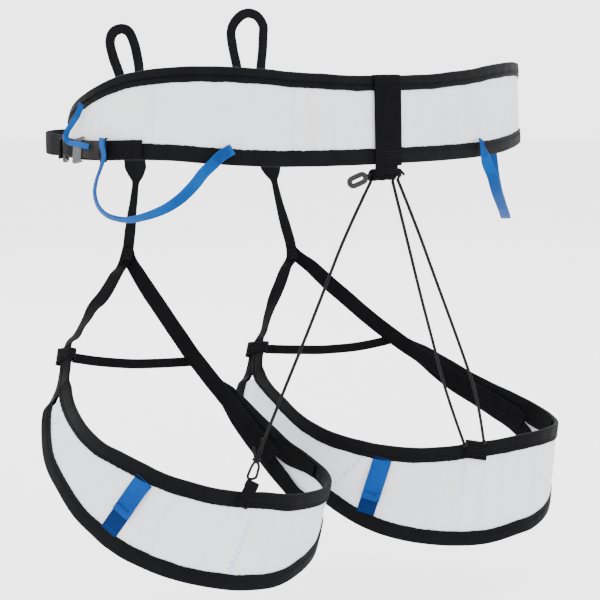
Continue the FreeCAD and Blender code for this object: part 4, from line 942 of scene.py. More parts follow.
# folded tail joining the strap to the tunnel
C = dense([(0.0085, 0.1080, -0.0300), (0.0083, 0.1081, -0.0335), (0.0082, 0.1079, -0.0362), (0.0081, 0.1078, -0.0395)], 0.0008)
tape("tunnel facing", C, (0, 1, 0), [0.0184, 0.0188, 0.0190, 0.0186], 0.0012, MAT_WEB2, wave=(6, 0.00012, 0.008), nflat=13)
for z in (-0.0349, -0.0362):
    L = np.stack([np.array([x, 0.1086, z]) for x in np.linspace(0.0, 0.0168, 24)])
    THR.row(L, np.repeat(np.array([[0, 1.0, 0]]), 24, 0), pitch=0.0016, r=0.00022, rise=0.0002)


# ------------------------------------------------------------------ cords
def cord_line(pts):
    cu = bpy.data.curves.new("route", "CURVE")
    cu.dimensions = "3D"
    cu.resolution_u = 16
    sp = cu.splines.new("NURBS")
    sp.points.add(len(pts) - 1)
    for q, p in zip(sp.points, pts):
        q.co = (p[0], p[1], p[2], 1.0)
    sp.order_u = 3
    sp.use_endpoint_u = True
    ob = bpy.data.objects.new("route", cu)
    bpy.context.scene.collection.objects.link(ob)
    bpy.context.view_layer.update()
    me = bpy.data.meshes.new_from_object(ob)
    P = np.array([v.co[:] for v in me.vertices])
    bpy.data.objects.remove(ob)
    bpy.data.curves.remove(cu)
    bpy.data.meshes.remove(me)
    return P


def riser_cord(name, route, node, leg_body):
    P = cord_line(route)
    o = tube(name, P, CORD_R, MAT_CORD, 14)
    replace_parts(o, node)
    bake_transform(o, "waist_belt", leg_body, tuple(P[0]), tuple(P[-1]))
    return P


PL = riser_cord("left elastic riser", CORD_L_PTS, "left_elastic_riser", "left_leg_loop")
PR = riser_cord("right elastic riser a", CORD_R_PTS, "right_elastic_riser_a", "right_leg_loop")
PR2 = riser_cord("right elastic riser b", CORD_R2_PTS, "right_elastic_riser_b", "right_leg_loop")

C = dense([(-0.0016, 0.1040, -0.0392), (0.008, 0.10435, -0.03925), (0.019, 0.1040, -0.0392)], 0.0006)
o = tube("tunnel cord", C, CORD_R, MAT_CORD, 14)
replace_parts(o, "rear_tunnel_cord")


def knot(name, c, size, axis, r, mat, node, tails=()):
    """Overhand knot, tied tight."""
    a = unit(A(axis))
    e1 = unit(np.cross(a, [0.2, 0.1, 1.0]))
    e2 = np.cross(a, e1)
    T = np.linspace(0, 2 * math.pi, 140)
    x = np.sin(T) + 2 * np.sin(2 * T)
    y = np.cos(T) - 2 * np.cos(2 * T)
    z = -np.sin(3 * T)
    k = size / 3.0
    P = A(c) + (x[:, None] * e1 + y[:, None] * e2) * k + z[:, None] * a * k * 1.25
    o = tube(name, P[:-2], r, mat, 12)
    if node:
        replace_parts(o, node)
    parts = [o]
    for q, tail in enumerate(tails):
        tt = tube(f"{name} tail {q + 1}", dense([A(c)] + [A(p) for p in tail], 0.0006), [r, r, r * 0.95, r * 0.8], mat, 10)
        parts.append(tt)
    return parts


knot("rear cord knot", (-0.0050, 0.1040, -0.0389), 0.0021, (1, 0.1, 0.15), 0.00105, MAT_CORD, "rear_cord_knot",
     tails=[[(-0.0062, 0.1062, -0.0385), (-0.0078, 0.1066, -0.0402)], [(-0.0052, 0.1045, -0.0410), (-0.0046, 0.1034, -0.0431)],
            [(-0.0024, 0.1040, -0.0410), (-0.0001, 0.1038, -0.0442)]])
# short bight where the left cord turns out of the tunnel
tube("tunnel cord turn", dense([(0.0182, 0.1040, -0.0392), (0.0192, 0.1040, -0.0399), (0.0186, 0.1031, -0.0420), (0.0173, 0.1028, -0.0433)], 0.0005), CORD_R, MAT_CORD, 12)

# glossy toggle loop
# ------------------------------------------------------------------ toggle
td = unit(A([0.0124, -0.0044, -0.0056]))
tc = A([0.0210, 0.1042, -0.0395]) + td * 0.0075
tn = unit(A([0.5736, 0.8192, 0.0]) - td * np.dot(A([0.5736, 0.8192, 0.0]), td))
te = np.cross(tn, td)
T = np.linspace(0, 2 * math.pi, 72, endpoint=False)
ring = tc + td * (np.sign(np.cos(T)) * 0.0031 * np.minimum(1, np.abs(np.cos(T)) * 4) + 0.00262 * np.cos(T))[:, None] + te * (0.00262 * np.sin(T))[:, None]


def ring_tube(name, C, r, mat, sides=12, flat=1.0, nrm=None):
    n = len(C)
    t = unit(np.roll(C, -1, 0) - np.roll(C, 1, 0))
    N0 = unit(A(nrm))
    P = np.zeros((n, sides, 3))
    UV = np.zeros((n, sides, 2))
    s = np.r_[0, np.cumsum(np.linalg.norm(np.diff(C, axis=0), axis=1))]
    for i in range(n):
        e = unit(np.cross(t[i], N0))
        for j in range(sides):
            a = 2 * math.pi * j / sides
            P[i, j] = C[i] + (N0 * math.cos(a) * flat + e * math.sin(a)) * r
            UV[i, j] = (s[i] * 1000, a * r * 1000)
    verts = P.reshape(-1, 3)
    F = []
    for i in range(n):
        k = (i + 1) % n
        for j in range(sides):
            q = (j + 1) % sides
            F.append((i * sides + j, i * sides + q, k * sides + q, k * sides + j))
    o = mesh_obj(name, verts, F, UV.reshape(-1, 2), mat)
    fix_normals(o)
    return o


o = ring_tube("release toggle", ring, 0.00175, MAT_GLOSS, 18, 1.0, tn)
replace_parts(o, "rear_release_toggle")
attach(o, "release_toggle")
tube("toggle cord", dense([(0.0178, 0.1042, -0.0388), (0.0192, 0.1045, -0.0389), (0.0206, 0.1043, -0.0393), (0.0218, 0.1040, -0.0398)], 0.0005), 0.0010, MAT_CORD, 12)

# ------------------------------------------------------------------ front closure strap
FRONT = A([(157.6, -55.3), (155.3, -63.5), (153.0, -78), (150.5, -96), (144.5, -113), (131, -126), (110, -134.2), (88, -138.0),
           (76, -138.5), (60, -138.5), (44, -138.5), (26, -138.0), (0, -137.2), (-26, -138.0), (-44, -138.5), (-60, -138.5),
           (-76, -138.5), (-88, -138.0), (-110, -134.2), (-131, -126), (-146.5, -110), (-157, -88), (-165.5, -64), (-171.3, -46), (-173.8, -36.2)]) * MM
C = dense(np.c_[FRONT, np.full(len(FRONT), STRAP_Z)], 0.0013)
t = unit(np.gradient(C, axis=0))
FN = np.stack([t[:, 1], -t[:, 0], 0 * t[:, 0]], 1)
o, info = tape("front closure strap", C, FN, [0.0136, 0.0156] + [0.0156] * 12, 0.0016, MAT_WEB, crown=0.12, wave=(21, 0.00025, 0.05), nflat=15)
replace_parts(o, "front_closure_strap")
for v in (-0.0062, 0.0062):
    L = info["C"] + info["S"] * v + info["N"] * 0.0009
    k = int(len(L) * 0.03)
    THR.row(L[k:-k:3], info["N"][k:-k:3], pitch=0.0036, r=0.0002, rise=0.0002)

# far end, sewn on the outside of the belt
i0, i1 = sorted((at_phi(-106.5), at_phi(-93)))
sub = BS.cut(i0, i1 + 1)
n = len(sub.s)
vm = sub.W - 0.0032
C = sub.T + sub.D * vm[:, None] + sub.N * 0.00245
o, info = tape("closure end patch", C, sub.N, 0.0156, 0.00135, MAT_WEB, wave=(22, 0.0001, 0.01), nflat=13)
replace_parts(o, "closure_end_patch")
for k in np.linspace(0.12, 0.88, 5):
    q = int(k * (n - 1))
    L = np.stack([info["C"][q] + info["S"][q] * a + info["N"][q] * 0.0008 for a in np.linspace(-0.0066, 0.0066, 16)])
    THR.row(L, np.repeat(info["N"][q][None], 16, 0), pitch=0.0012, r=0.00026, rise=0.0003)

# ------------------------------------------------------------------ buckle
BC = A([0.1642, -0.0466, STRAP_Z])
ES, EN, EZ = A([-0.6, -0.8, 0]), A([0.8, -0.6, 0]), A([0, 0, 1.0])


def bpt(s, n, z=0.0):
    return BC + ES * s * MM + EN * n * MM + EZ * z * MM


def buckle_frame():
    """Rounded rectangular frame with its window; edges rolled."""
    m = 64
    outer = densify(rrect(16.4, 19.2, 3.2, 6), m)
    inner = densify(rrect(10.6, 16.0, 1.4, 6), m)
    # a ring of profiles: from the window edge over the face to the outside and back
    prof = [(0.0, 0.0), (0.0, 0.72), (0.10, 0.95), (0.28, 1.02), (0.72, 1.02), (0.92, 0.92), (1.0, 0.6), (1.0, 0.0)]
    prof = prof + [(a, -b) for a, b in prof[::-1][1:-1]] + [(0.0, -0.72)]
    k = len(prof)
    P = np.zeros((m, k, 3))
    UV = np.zeros((m, k, 2))
    for i in range(m):
        for j, (f, h) in enumerate(prof):
            q = inner[i] * (1 - f) + outer[i] * f
            P[i, j] = bpt(q[0], h * 1.2, q[1])
            UV[i, j] = (q[0], q[1])
    F = []
    for i in range(m):
        a = (i + 1) % m
        for j in range(k):
            b = (j + 1) % k
            F.append((i * k + j, i * k + b, a * k + b, a * k + j))
    o = mesh_obj("buckle frame", P.reshape(-1, 3), F, UV.reshape(-1, 2), MAT_METAL)
    fix_normals(o)
    return o


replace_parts(buckle_frame(), "buckle_frame")
zs = np.r_[-7.6, -7.5, -7.2, np.linspace(-6.8, 6.8, 30), 7.2, 7.5, 7.6]
rad = np.r_[0.0006, 0.00095, 0.00113, np.full(30, 0.00113) + 0.00004 * np.sin(np.linspace(0, 60, 30)), 0.00113, 0.00095, 0.0006]
o = tube("buckle slider bar", np.stack([bpt(0, 0, z) for z in zs]), list(rad), MAT_METAL, 20)
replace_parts(o, "buckle_slider_bar")
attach(o, "buckle_slider")


def wrap_tape(name, path, width, thick, mat, node):
    C = dense([bpt(s, n) for s, n in path], 0.0005)
    t = unit(np.gradient(C, axis=0))
    FN = unit(np.cross(t, EZ))
    o, info = tape(name, C, FN, width, thick, mat, crown=0.08, nflat=13)
    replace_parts(o, node)
    return o, info


def u_turn(s_bar, side):
    return [(s_bar + side * 2.35 * math.cos(math.pi * (0.5 - k / 8.0)), 2.35 * math.sin(math.pi * (0.5 - k / 8.0))) for k in range(9)]


# the anchor loop's brownish-grey ribs are painted sheen on black webbing
wrap_tape("buckle anchor loop", [(-11.6, 3.0), (-9.6, 2.5)] + u_turn(-6.6, 1.0) + [(-9.6, -2.5), (-11.6, -3.0)], 0.0136, 0.0009, MAT_RIB_PAINTED_SHEEN, "buckle_anchor_loop")
wrap_tape("buckle closure loop", [(11.2, 1.7)] + u_turn(6.6, -1.0) + [(11.2, -1.7)], 0.0136, 0.0009, MAT_WEB, "buckle_closure_loop")

i0, i1 = sorted((at_phi(63), at_phi(105.5)))
sub = BS.cut(i0, i1 + 1)
C = sub.T + sub.D * (sub.W - 0.0061)[:, None] + sub.N * 0.00255
o, info = tape("buckle anchor tail", C, sub.N, 0.0118, 0.0011, MAT_WEB, wave=(23, 0.00008, 0.02), nflat=13)
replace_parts(o, "buckle_anchor_tail")
far = np.arange(len(info["s"]))[:: 1]
for k in (0.10, 0.16, 0.22):
    q = int(k * (len(far) - 1)) if sub.T[0, 0] < sub.T[-1, 0] else int((1 - k) * (len(far) - 1))
    L = np.stack([info["C"][q] + info["S"][q] * a + info["N"][q] * 0.00065 for a in np.linspace(-0.005, 0.005, 14)])
    THR.row(L, np.repeat(info["N"][q][None], 14, 0), pitch=0.0012, r=0.00024, rise=0.0003)

# keeper band over the tail
i0, i1 = sorted((at_phi(86.4), at_phi(92.4)))
ik = (i0 + i1) // 2
w = BS.W[ik] + 0.0012
prof = [(w - 0.0142, 1.9), (w - 0.01425, 3.0), (w - 0.0138, 3.75), (w - 0.0128, 3.85), (w - 0.0105, 3.85), (w - 0.0060, 3.85), (w - 0.0015, 3.85), (w + 0.0006, 3.8), (w + 0.0014, 3.2), (w + 0.00145, 1.9)]
C = dense([on(BS, ik, v, o * MM) for v, o in prof], 0.0004)
t = unit(np.gradient(C, axis=0))
FN = unit(np.cross(t, unit(BS.t[ik])))
if np.dot(FN[len(FN) // 2], BS.N[ik]) < 0:
    FN = -FN
o, info = tape("strap keeper", C, FN, 0.0112, 0.0008, MAT_METAL, nflat=15, crown=0.06, groove=(-0.0045, 0.0045), gd=0.0001)
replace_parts(o, "strap_keeper")
# thin bar sewn over the tail where the gear tape passes under it
ib = at_phi(76.0)
wb = BS.W[ib] + 0.0012
for q, (v0, v1, o) in enumerate(((wb - 0.0142, wb + 0.0006, 4.4),)):
    pb = [(v0, 3.3), (v0 + 0.0005, o)] + [(v, o + 0.15) for v in np.linspace(v0 + 0.002, v1 - 0.002, 6)] + [(v1 - 0.0004, o), (v1, 3.3)]
    C = dense([on(BS, ib, v, n * MM) for v, n in pb], 0.0004)
    t = unit(np.gradient(C, axis=0))
    FN = unit(np.cross(t, unit(BS.t[ib])))
    if np.dot(FN[len(FN) // 2], BS.N[ib]) < 0:
        FN = -FN
    tape("tail bar", C, FN, 0.0052, 0.0010, MAT_BAR, nflat=9, crown=0.2, wave=(29, 0.00006, 0.006))
# ribbed cover of the tail between the plate and the bar
i0, i1 = sorted((at_phi(77.6), at_phi(86.0)))
sub = BS.cut(i0, i1 + 1)
C = sub.T + sub.D * (sub.W - 0.0061)[:, None] + sub.N * 0.00345
# its brownish-grey ribs are painted sheen on black webbing
tape("ribbed cover", C, sub.N, 0.0116, 0.0007, MAT_RIB_PAINTED_SHEEN, wave=(30, 0.00006, 0.012), nflat=13)
# narrow blue tape standing off the belt end
C = dense(TIPTAPE, 0.0006)
o, info = tape("belt tip tape", C, (0.5736, 0.8192, 0.0), 0.0038, 0.0009, MAT_BLUE, wave=(24, 0.0001, 0.01), nflat=9)
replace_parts(o, "belt_tip_tape")

# ------------------------------------------------------------------ tie-in loops and their sewn bases
BASE_TOP = STRAP_Z + 0.0096
for side, x0, x1, body, route in (("left", 0.0445, 0.0750, "left_tie_in", TIE_L), ("right", -0.0750, -0.0445, "right_tie_in", TIE_R)):
    nx, m = 40, 56
    xs = np.linspace(x0, x1, nx)
    oo, ii = densify(rrect(0.0052, 0.0192, 0.0016), m), densify(rrect(0.0024, 0.0164, 0.0006), m)
    out, inn = np.zeros((nx, m, 3)), np.zeros((nx, m, 3))
    for i, x in enumerate(xs):
        e = 0.00018 * math.sin(x * 700) + 0.0001 * math.sin(x * 2200)
        for j in range(m):
            out[i, j] = (x, FRONT_Y + oo[j, 0] * (1 + 0.02 * math.sin(x * 900)), STRAP_Z + oo[j, 1] + (e if abs(oo[j, 1]) > 0.006 else 0))
            inn[i, j] = (x, FRONT_Y + ii[j, 0], STRAP_Z + ii[j, 1])
    o = sleeve(f"{side} tie in base", out, inn, MAT_WEB)
    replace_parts(o, f"{side}_tie_in_base")
    for sy in (1, -1):
        nn = A([0, sy, 0.0])
        for x in (x0 + 0.0012, x0 + 0.0026, x1 - 0.0026, x1 - 0.0012):
            L = np.stack([A([x, FRONT_Y + sy * 0.00265, STRAP_Z + z]) for z in np.linspace(-0.0078, 0.0078, 20)])
            THR.row(L, np.repeat(nn[None], 20, 0), pitch=0.0016, r=0.00024, rise=0.0002)
        for z in (-0.0068, 0.0068):
            L = np.stack([A([x, FRONT_Y + sy * 0.00265, STRAP_Z + z]) for x in np.linspace(x0 + 0.003, x1 - 0.003, 30)])
            THR.row(L, np.repeat(nn[None], 30, 0), pitch=0.0024, r=0.00024, rise=0.0002)
        for cx in (x0 + 0.0085, x1 - 0.0085):
            THR.zigzag((cx, FRONT_Y + sy * 0.00265, STRAP_Z + 0.0035), (0, 0, 1), (1, 0, 0), nn, 0.0060, 0.0066, pitch=0.00085, r=0.00022, rise=0.0002)
    # webbing doubled on itself, a seam along its middle
    pts = [list(p) for p in route]
    pts[0][2] = BASE_TOP + 0.0015
    pts[-1][2] = BASE_TOP + 0.0015
    pts = [[pts[0][0] - (pts[1][0] - pts[0][0]) * 0.15, pts[0][1] + 0.0006, BASE_TOP - 0.0030]] + pts + [[pts[-1][0], pts[-1][1] + 0.0006, BASE_TOP - 0.0030]]
    C = dense(pts, 0.0009)
    for k, dy in enumerate((0.00078, -0.00078)):
        o, info = tape(f"{side} tie in loop {'inner' if k else 'outer'} ply", C + A([0, dy, 0]), (0.0, 1.0, 0.05), 0.0076 - 0.0004 * k, 0.00145, MAT_BIND,
                       crown=0.10, wave=(40 + k + (side == "left") * 7, 0.00018, 0.022), nflat=13, groove=(-0.0024, 0.0024), gd=0.00022)
        if k == 0:
            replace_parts(o, f"{side}_tie_in_loop")
        tt = Threads()
        for g in (-0.0024, 0.0024):
            sy = 1 if k == 0 else -1
            L = info["C"] + info["S"] * g + info["N"] * ((0.00058 + 0.0) * sy) + info["N"] * info["w2"][:, None]
            tt.row(L[6:-6], info["N"][6:-6] * sy, pitch=0.0026, r=0.00022, rise=0.00018)
        q = tt.make(f"{side} tie in loop sewing {k + 1}", MAT_THREAD)
        for z in (o, q):
            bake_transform(z, "waist_belt", body, (0, 0, BASE_TOP - 0.0006), (0, 0, BASE_TOP + 0.0125))
THR.make("belt sewing", MAT_THREAD)

# ------------------------------------------------------------------ gear loops
def gear(name, route, face, body, node, z_hi, z_lo, ends, seed):
    C = dense(route, 0.0008)
    t = unit(np.gradient(C, axis=0))
    faces = unit(blur(face(arclen(C), t), 3))
    o, info = tape(name, C, faces, 0.0075, 0.0014, MAT_BLUE, crown=0.06, wave=(seed, 0.00022, 0.03), nflat=13)
    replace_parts(o, node)
    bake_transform(o, "waist_belt", body, (0, 0, z_hi), (0, 0, z_lo))
    tt = Threads()
    n = len(C)
    for frac in ends:
        q = int(frac * (n - 1))
        for k in range(-3, 4):
            j = min(max(q + k * 2, 1), n - 2)
            nn = info["N"][j]
            if np.dot(nn, info["C"][j] * A([1, 1, 0])) < 0:
                nn = -nn
            L = np.stack([info["C"][j] + info["S"][j] * a + nn * 0.00078 for a in np.linspace(-0.0030, 0.0030, 12)])
            tt.row(L, np.repeat(nn[None], 12, 0), pitch=0.0010, r=0.00026, rise=0.00028)
    z = tt.make(name + " bartacks", MAT_TACK_B)
    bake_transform(z, "waist_belt", body, (0, 0, z_hi), (0, 0, z_lo))
    return info


def left_gear_face(s, t):
    deg = np.interp(s / s[-1], [0, 0.12, 0.25, 0.4, 0.52, 0.65, 0.75, 0.85, 0.93, 1], [0, 0, 12, 38, 55, 62, 70, 78, 66, 58])
    nn = unit(TOCAM[None] - t * (t @ TOCAM)[:, None])
    sd = unit(np.cross(np.repeat(TOCAM[None], len(t), 0), t))
    a = np.radians(deg)[:, None]
    return nn * np.cos(a) + sd * np.sin(a)


def right_gear_face(s, t):
    hoop = np.cross(t, np.repeat(A([[-0.8192, 0.5736, 0.0]]), len(t), 0))
    flip = (hoop @ TOCAM < 0) & (s < s[-1] * 0.4)
    hoop[flip] *= -1
    u = np.clip((s - 0.006) / 0.014, 0, 1)[:, None]
    q = np.clip((s[-1] - s - 0.008) / 0.030, 0, 1)[:, None]
    f = A([[-0.4, 0.92, 0.0]]) * (1 - u) + hoop * u
    return A([[-0.9, -0.2, 0.0]]) * (1 - q) + f * q


TOCAM = unit(A([0.5736, 0.8192, 0.0]))
gl = [A(p) for p in GEAR_L]
gl = gl + [gl[-1] + A([0.0009, -0.0006, 0.0062]), gl[-1] + A([0.0006, -0.0004, 0.0110])]
GL = gear("left gear loop", gl, left_gear_face, "left_gear", "left_gear_loop", -0.0225, -0.0345, (0.055,), 51)
GR = gear("right gear loop", GEAR_R, right_gear_face, "right_gear", "right_gear_loop", -0.0235, -0.0355, (0.035, 0.965), 52)
# ------------------------------------------------------------------ leg loops
VIEW = unit(A([0.5736, 0.8192, 0.0]))


def turned(t, deg):
    """Face directions turned from the front view about the tape's own run."""
    nn = unit(VIEW[None] - t * (t @ VIEW)[:, None])
    sd = unit(np.cross(np.repeat(VIEW[None], len(t), 0), t))
    a = np.radians(deg)[:, None]
    return nn * np.cos(a) + sd * np.sin(a)


def run_of(C):
    return unit(np.gradient(C, axis=0))


def widths(tab, s):
    x = [p[0] * MM for p in tab]
    return list(np.interp(s, x, [p[1] * MM for p in tab]))


def nearest(st, x, y):
    return int(np.argmin((st.T[:, 0] - x) ** 2 + (st.T[:, 1] - y) ** 2))


def leg(side, TOP, BOT, WIDE, BR, RIS, SPR, bands, keep, tab, seed, body):
    thr = THR_L if side == "left" else THR_R
    LS = leg_strip(TOP, BOT)
    n = len(LS.s)
    p = side + "_leg_"
    nm = side + "_leg_loop "
    made = []

    def add(o, *nodes):
        if nodes:
            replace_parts(o, *nodes)
        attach(o, body)
        made.append(o)
        return o

    add(binding(nm + "upper binding", LS, True, seed, MAT_BIND, thr=thr), p + "upper_binding")
    add(binding(nm + "lower binding", LS, False, seed + 1, MAT_BIND, thr=thr), p + "lower_binding")
    wide = np.where(LS.W > 0.0280)[0]
    sk = LS.cut(wide[0], wide[-1] + 1)
    mat = laminate("laminate_" + side + "_leg", bands)
    a, area = panel(nm + "outer skin", sk, 0.00034, 0.00070, seed + 2, mat, (p + "outer_skin",), u0=0.0)
    b, _ = panel(nm + "inner skin", sk, -0.00070, -0.00034, seed + 2, mat, (p + "inner_skin",), u0=0.0)
    for o in (a, b):
        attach(o, body)
    k = int(len(sk.s) * 0.04)
    q = inlay(nm + "load tape", sk.cut(k, len(sk.s) - k), 0.0035, MAT_LOAD, p + "load_tape")
    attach(q, body)

    # sleeve over the narrow front end
    up = unit((LS.T[0] + LS.B[0]) - (LS.T[4] + LS.B[4]))
    mid = (LS.T + LS.B) / 2
    m = 60
    ks = np.linspace(0.0036, -0.0056, 20)
    out, inn = np.zeros((20, m, 3)), np.zeros((20, m, 3))
    for i, kk in enumerate(ks):
        if kk >= 0:
            T0, D0, W0, N0 = LS.T[0] + up * kk, LS.D[0], LS.W[0], LS.N[0]
        else:
            j = int(np.searchsorted(LS.s, -kk))
            T0, D0, W0, N0 = LS.T[j], LS.D[j], LS.W[j], LS.N[j]
        h = W0 + 0.0036
        e = 1 - 0.10 * (i in (0, 19)) - 0.04 * (i in (1, 18)) + 0.015 * math.sin(i * 1.3)
        oo = densify(rrect(h * (0.98 + 0.02 * e), 0.0068 * e, 0.0026), m)
        ii = densify(rrect(h - 0.0014, 0.0057 * e, 0.0020), m)
        c = T0 + D0 * (W0 / 2 + 0.0002)
        out[i] = c + D0[None] * oo[:, :1] + N0[None] * oo[:, 1:]
        inn[i] = c + D0[None] * ii[:, :1] + N0[None] * ii[:, 1:]
    o = sleeve(nm + "end sleeve", out, inn, MAT_WEB)
    add(o, p + "end_sleeve")
    for i in (3, 10, 16):
        for sg in (1, -1):
            j = 0 if ks[i] >= 0 else int(np.searchsorted(LS.s, -ks[i]))
            c = (LS.T[j] + up * max(ks[i], 0)) + LS.D[j] * (LS.W[j] / 2)
            L = np.stack([c + LS.D[j] * a + LS.N[j] * sg * 0.00345 for a in np.linspace(-LS.W[j] / 2 + 0.0008, LS.W[j] / 2 - 0.0004, 16)])
            thr.row(L, np.repeat((LS.N[j] * sg)[None], 16, 0), pitch=0.0013, r=0.00025, rise=0.0003)

    # webbing: wide strap behind, outer branch in front
    w = [A(q) for q in WIDE[:-2]]
    w[0] = w[0] - VIEW * 0.0016
    w[1] = w[1] - VIEW * 0.0016
    run = unit((LS.T[-1] + LS.B[-1]) - (LS.T[-5] + LS.B[-5]))
    k1 = int(np.max(np.where(LS.W >= 0.031)[0]))
    w.append(mid[-1] + run * 0.009 - LS.N[-1] * 0.0024)
    for k in list(range(n - 1, k1, -4)) + [k1]:
        w.append(mid[k] - LS.N[k] * 0.0036)
    jj = A(RIS[-1])
    dj = unit(A(RIS[-1]) - A(RIS[-2]))
    w = [jj - VIEW * 0.0026 - dj * 0.0042] + w
    C = dense(w, 0.0011)
    sC = arclen(C)
    tail = float(LS.s[-1] - LS.s[k1])
    near = np.array([int(np.argmin(np.sum((mid - c) ** 2, 1))) for c in C])
    inn_n = -LS.N[near]
    u = np.clip(((sC[-1] - sC) - tail) / 0.030, 0, 1)[:, None]
    FN = unit(VIEW[None] * u + inn_n * (1 - u))
    FN = unit(blur(FN, 3))
    o, wi = tape(nm + "wide strap", C, FN, widths([(0, 7.5), (9, 9.6), (22, 11.0), (40, 12.0), (400, 12.0)], sC), 0.0013, MAT_WEB2, crown=0.12, wave=(seed + 5, 0.00022, 0.04), nflat=15)
    add(o, p + "wide_strap")
    for g in (-0.0048, 0.0048):
        for sg in (1, -1):
            L = wi["C"] + wi["S"] * g + wi["N"] * (0.0007 * sg)
            q = int(tail / 0.0011)
            thr.row(L[-q:-2], (wi["N"] * sg)[-q:-2], pitch=0.0026, r=0.0002, rise=0.0002)
    for q in (-3, -6):
        for sg in (1, -1):
            L = np.stack([wi["C"][q] + wi["S"][q] * a + wi["N"][q] * 0.00072 * sg for a in np.linspace(-0.0048, 0.0048, 14)])
            thr.row(L, np.repeat((wi["N"][q] * sg)[None], 14, 0), pitch=0.0013, r=0.00024, rise=0.00026)

    # past the strap's end its two edges run on along the bindings and thin out
    k2 = int(np.searchsorted(LS.s, LS.s[k1] - 0.042))
    seg = LS.cut(k2, k1 + 4)
    f = smoothstep((seg.s - seg.s[0]) / (seg.s[-1] - seg.s[0]))
    for lab, hi in (("upper", True), ("lower", False)):
        e = 0.0098 + f * np.maximum(0.0008, seg.W / 2 - 0.0104)
        q = np.linspace(0, 1, 7)
        vv = 0.0012 + (e - 0.0012)[:, None] * q[None]
        if not hi:
            vv = seg.W[:, None] - vv
        lay = lambda o: seg.T[:, None] + seg.D[:, None] * vv[..., None] + seg.N[:, None] * o
        P = np.concatenate([lay(-0.0021), lay(-0.0032)[:, ::-1]], 1)
        uv = np.stack([np.repeat((seg.s * 1000)[:, None], 7, 1), vv * 1000], 2)
        o = grid_mesh(nm + "strap edge " + lab, P, np.concatenate([uv, uv[:, ::-1]], 1), MAT_WEB2)
        add(o)

    b1, b2 = mid[0] + up * 0.0008, mid[0] + up * 0.005
    nn = LS.N[0]
    if np.dot(nn[:2], VIEW[:2]) < 0:
        nn = -nn
    w = [A(q) for k, q in enumerate(BR) if np.dot(A(q) - mid[0], up) > 0.009 or k < 3]
    w[0] = w[0] + VIEW * 0.0012
    w = [jj + VIEW * 0.0026 - dj * 0.0042] + w
    C = dense(w + [b2, b1, mid[0] - up * 0.001], 0.0011)
    sC = arclen(C)
    FN = turned(run_of(C), np.interp(sC / sC[-1], [0, 0.05, 0.13, 0.22, 0.4, 0.6, 0.8, 1], [0, 0, -50, -25, 0, -45, -65, -70]))
    en = nn if np.dot(nn, FN[-1]) > 0 else -nn
    q = np.clip((sC - sC[-1] + 0.016) / 0.013, 0, 1)[:, None]
    FN = unit(blur(FN * (1 - q) + en[None] * q, 3))
    o, bi = tape(nm + "outer branch", C, FN, widths([(0, 8.4), (25, 9.4), (80, 9.2), (110, 8.6), (400, 8.4)], sC), 0.0013, MAT_WEB2,
                 crown=0.2, wave=(seed + 6, 0.00028, 0.035), nflat=13)
    add(o, p + "outer_branch")

    # riser: wide where it wraps the front strap, pinched below
    hx = 0.060 if side == "left" else -0.060
    cup = 0.0 if side == "left" else 4.5
    j = A(RIS[-1])
    d = unit(A(RIS[-1]) - A(RIS[-2]))
    q = j - d * 0.0065
    topz = STRAP_Z - 0.0115
    rp = [A([hx, FRONT_Y + 0.0016, topz + 0.0050]), A([hx, FRONT_Y + 0.002, topz])] + [A(a) for a in RIS if a[2] < topz - 0.008 and a[2] > q[2] + 0.004] + [q, q + d * 0.0036]
    C = dense(rp, 0.0009)
    sC = arclen(C)
    u = np.clip((sC - 0.005) / (0.4 * sC[-1]), 0, 1)[:, None]
    FN = unit(A([0.15, 0.99, 0])[None] * (1 - u) + VIEW[None] * u)
    o, ri = tape(nm + "riser", C, FN, widths([(0, 16.6), (17.5 + cup, 16.6), (23.5 + cup, 11.5), (28 + cup, 6.0), (31 + cup, 5.2), (47 + cup, 6.4), (65 + cup, 8.4), (400, 8.8)], sC),
                 widths([(0, 2.2), (18 + cup, 2.3), (28 + cup, 3.2), (50, 2.9), (66, 2.4), (400, 2.2)], sC), MAT_BIND, crown=0.25, wave=(seed + 7, 0.00026, 0.02), nflat=15)
    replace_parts(o, p + "riser")
    tt = Threads()
    for g in (-0.0018, 0.0018):
        for sg in (1, -1):
            ww = ri["W"] / 0.0155
            L = ri["C"] + ri["S"] * (g * ww)[:, None] + ri["N"] * (ri["TH"] * 0.42 * sg + ri["w2"])[:, None]
            tt.row(L[22:-4], (ri["N"] * sg)[22:-4], pitch=0.0025, r=0.0002, rise=0.0002)
    for i in (8, 11, 14):
        for sg in (1, -1):
            L = np.stack([ri["C"][i] + ri["S"][i] * a + ri["N"][i] * 0.00128 * sg for a in np.linspace(-0.0070, 0.0070, 20)])
            tt.row(L, np.repeat((ri["N"][i] * sg)[None], 20, 0), pitch=0.0014, r=0.00022, rise=0.00024)
    z = tt.make(nm + "riser sewing", MAT_THREAD)
    for x in (o, z):
        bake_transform(x, "waist_belt", body, (0, 0, topz + 0.001), (0, 0, topz - 0.016))

    # bartack over the fork
    c = j - d * 0.0005 + VIEW * 0.0046
    ex = unit(np.cross(VIEW, d))
    dd = dense([c - d * 0.0047, c - d * 0.002, c + d * 0.002, c + d * 0.0047], 0.0005)
    o, ti = tape(nm + "junction patch", dd, VIEW, [0.0062, 0.0076, 0.0076, 0.0066], 0.0007, MAT_WEB, nflat=11)
    add(o, p + "junction_bartack")
    for k in (-0.0030, 0.0, 0.0030):
        thr.zigzag(c + d * k + VIEW * 0.0004, d, ex, VIEW, 0.0018, 0.0060, pitch=0.0007, r=0.00016, rise=0.00014)

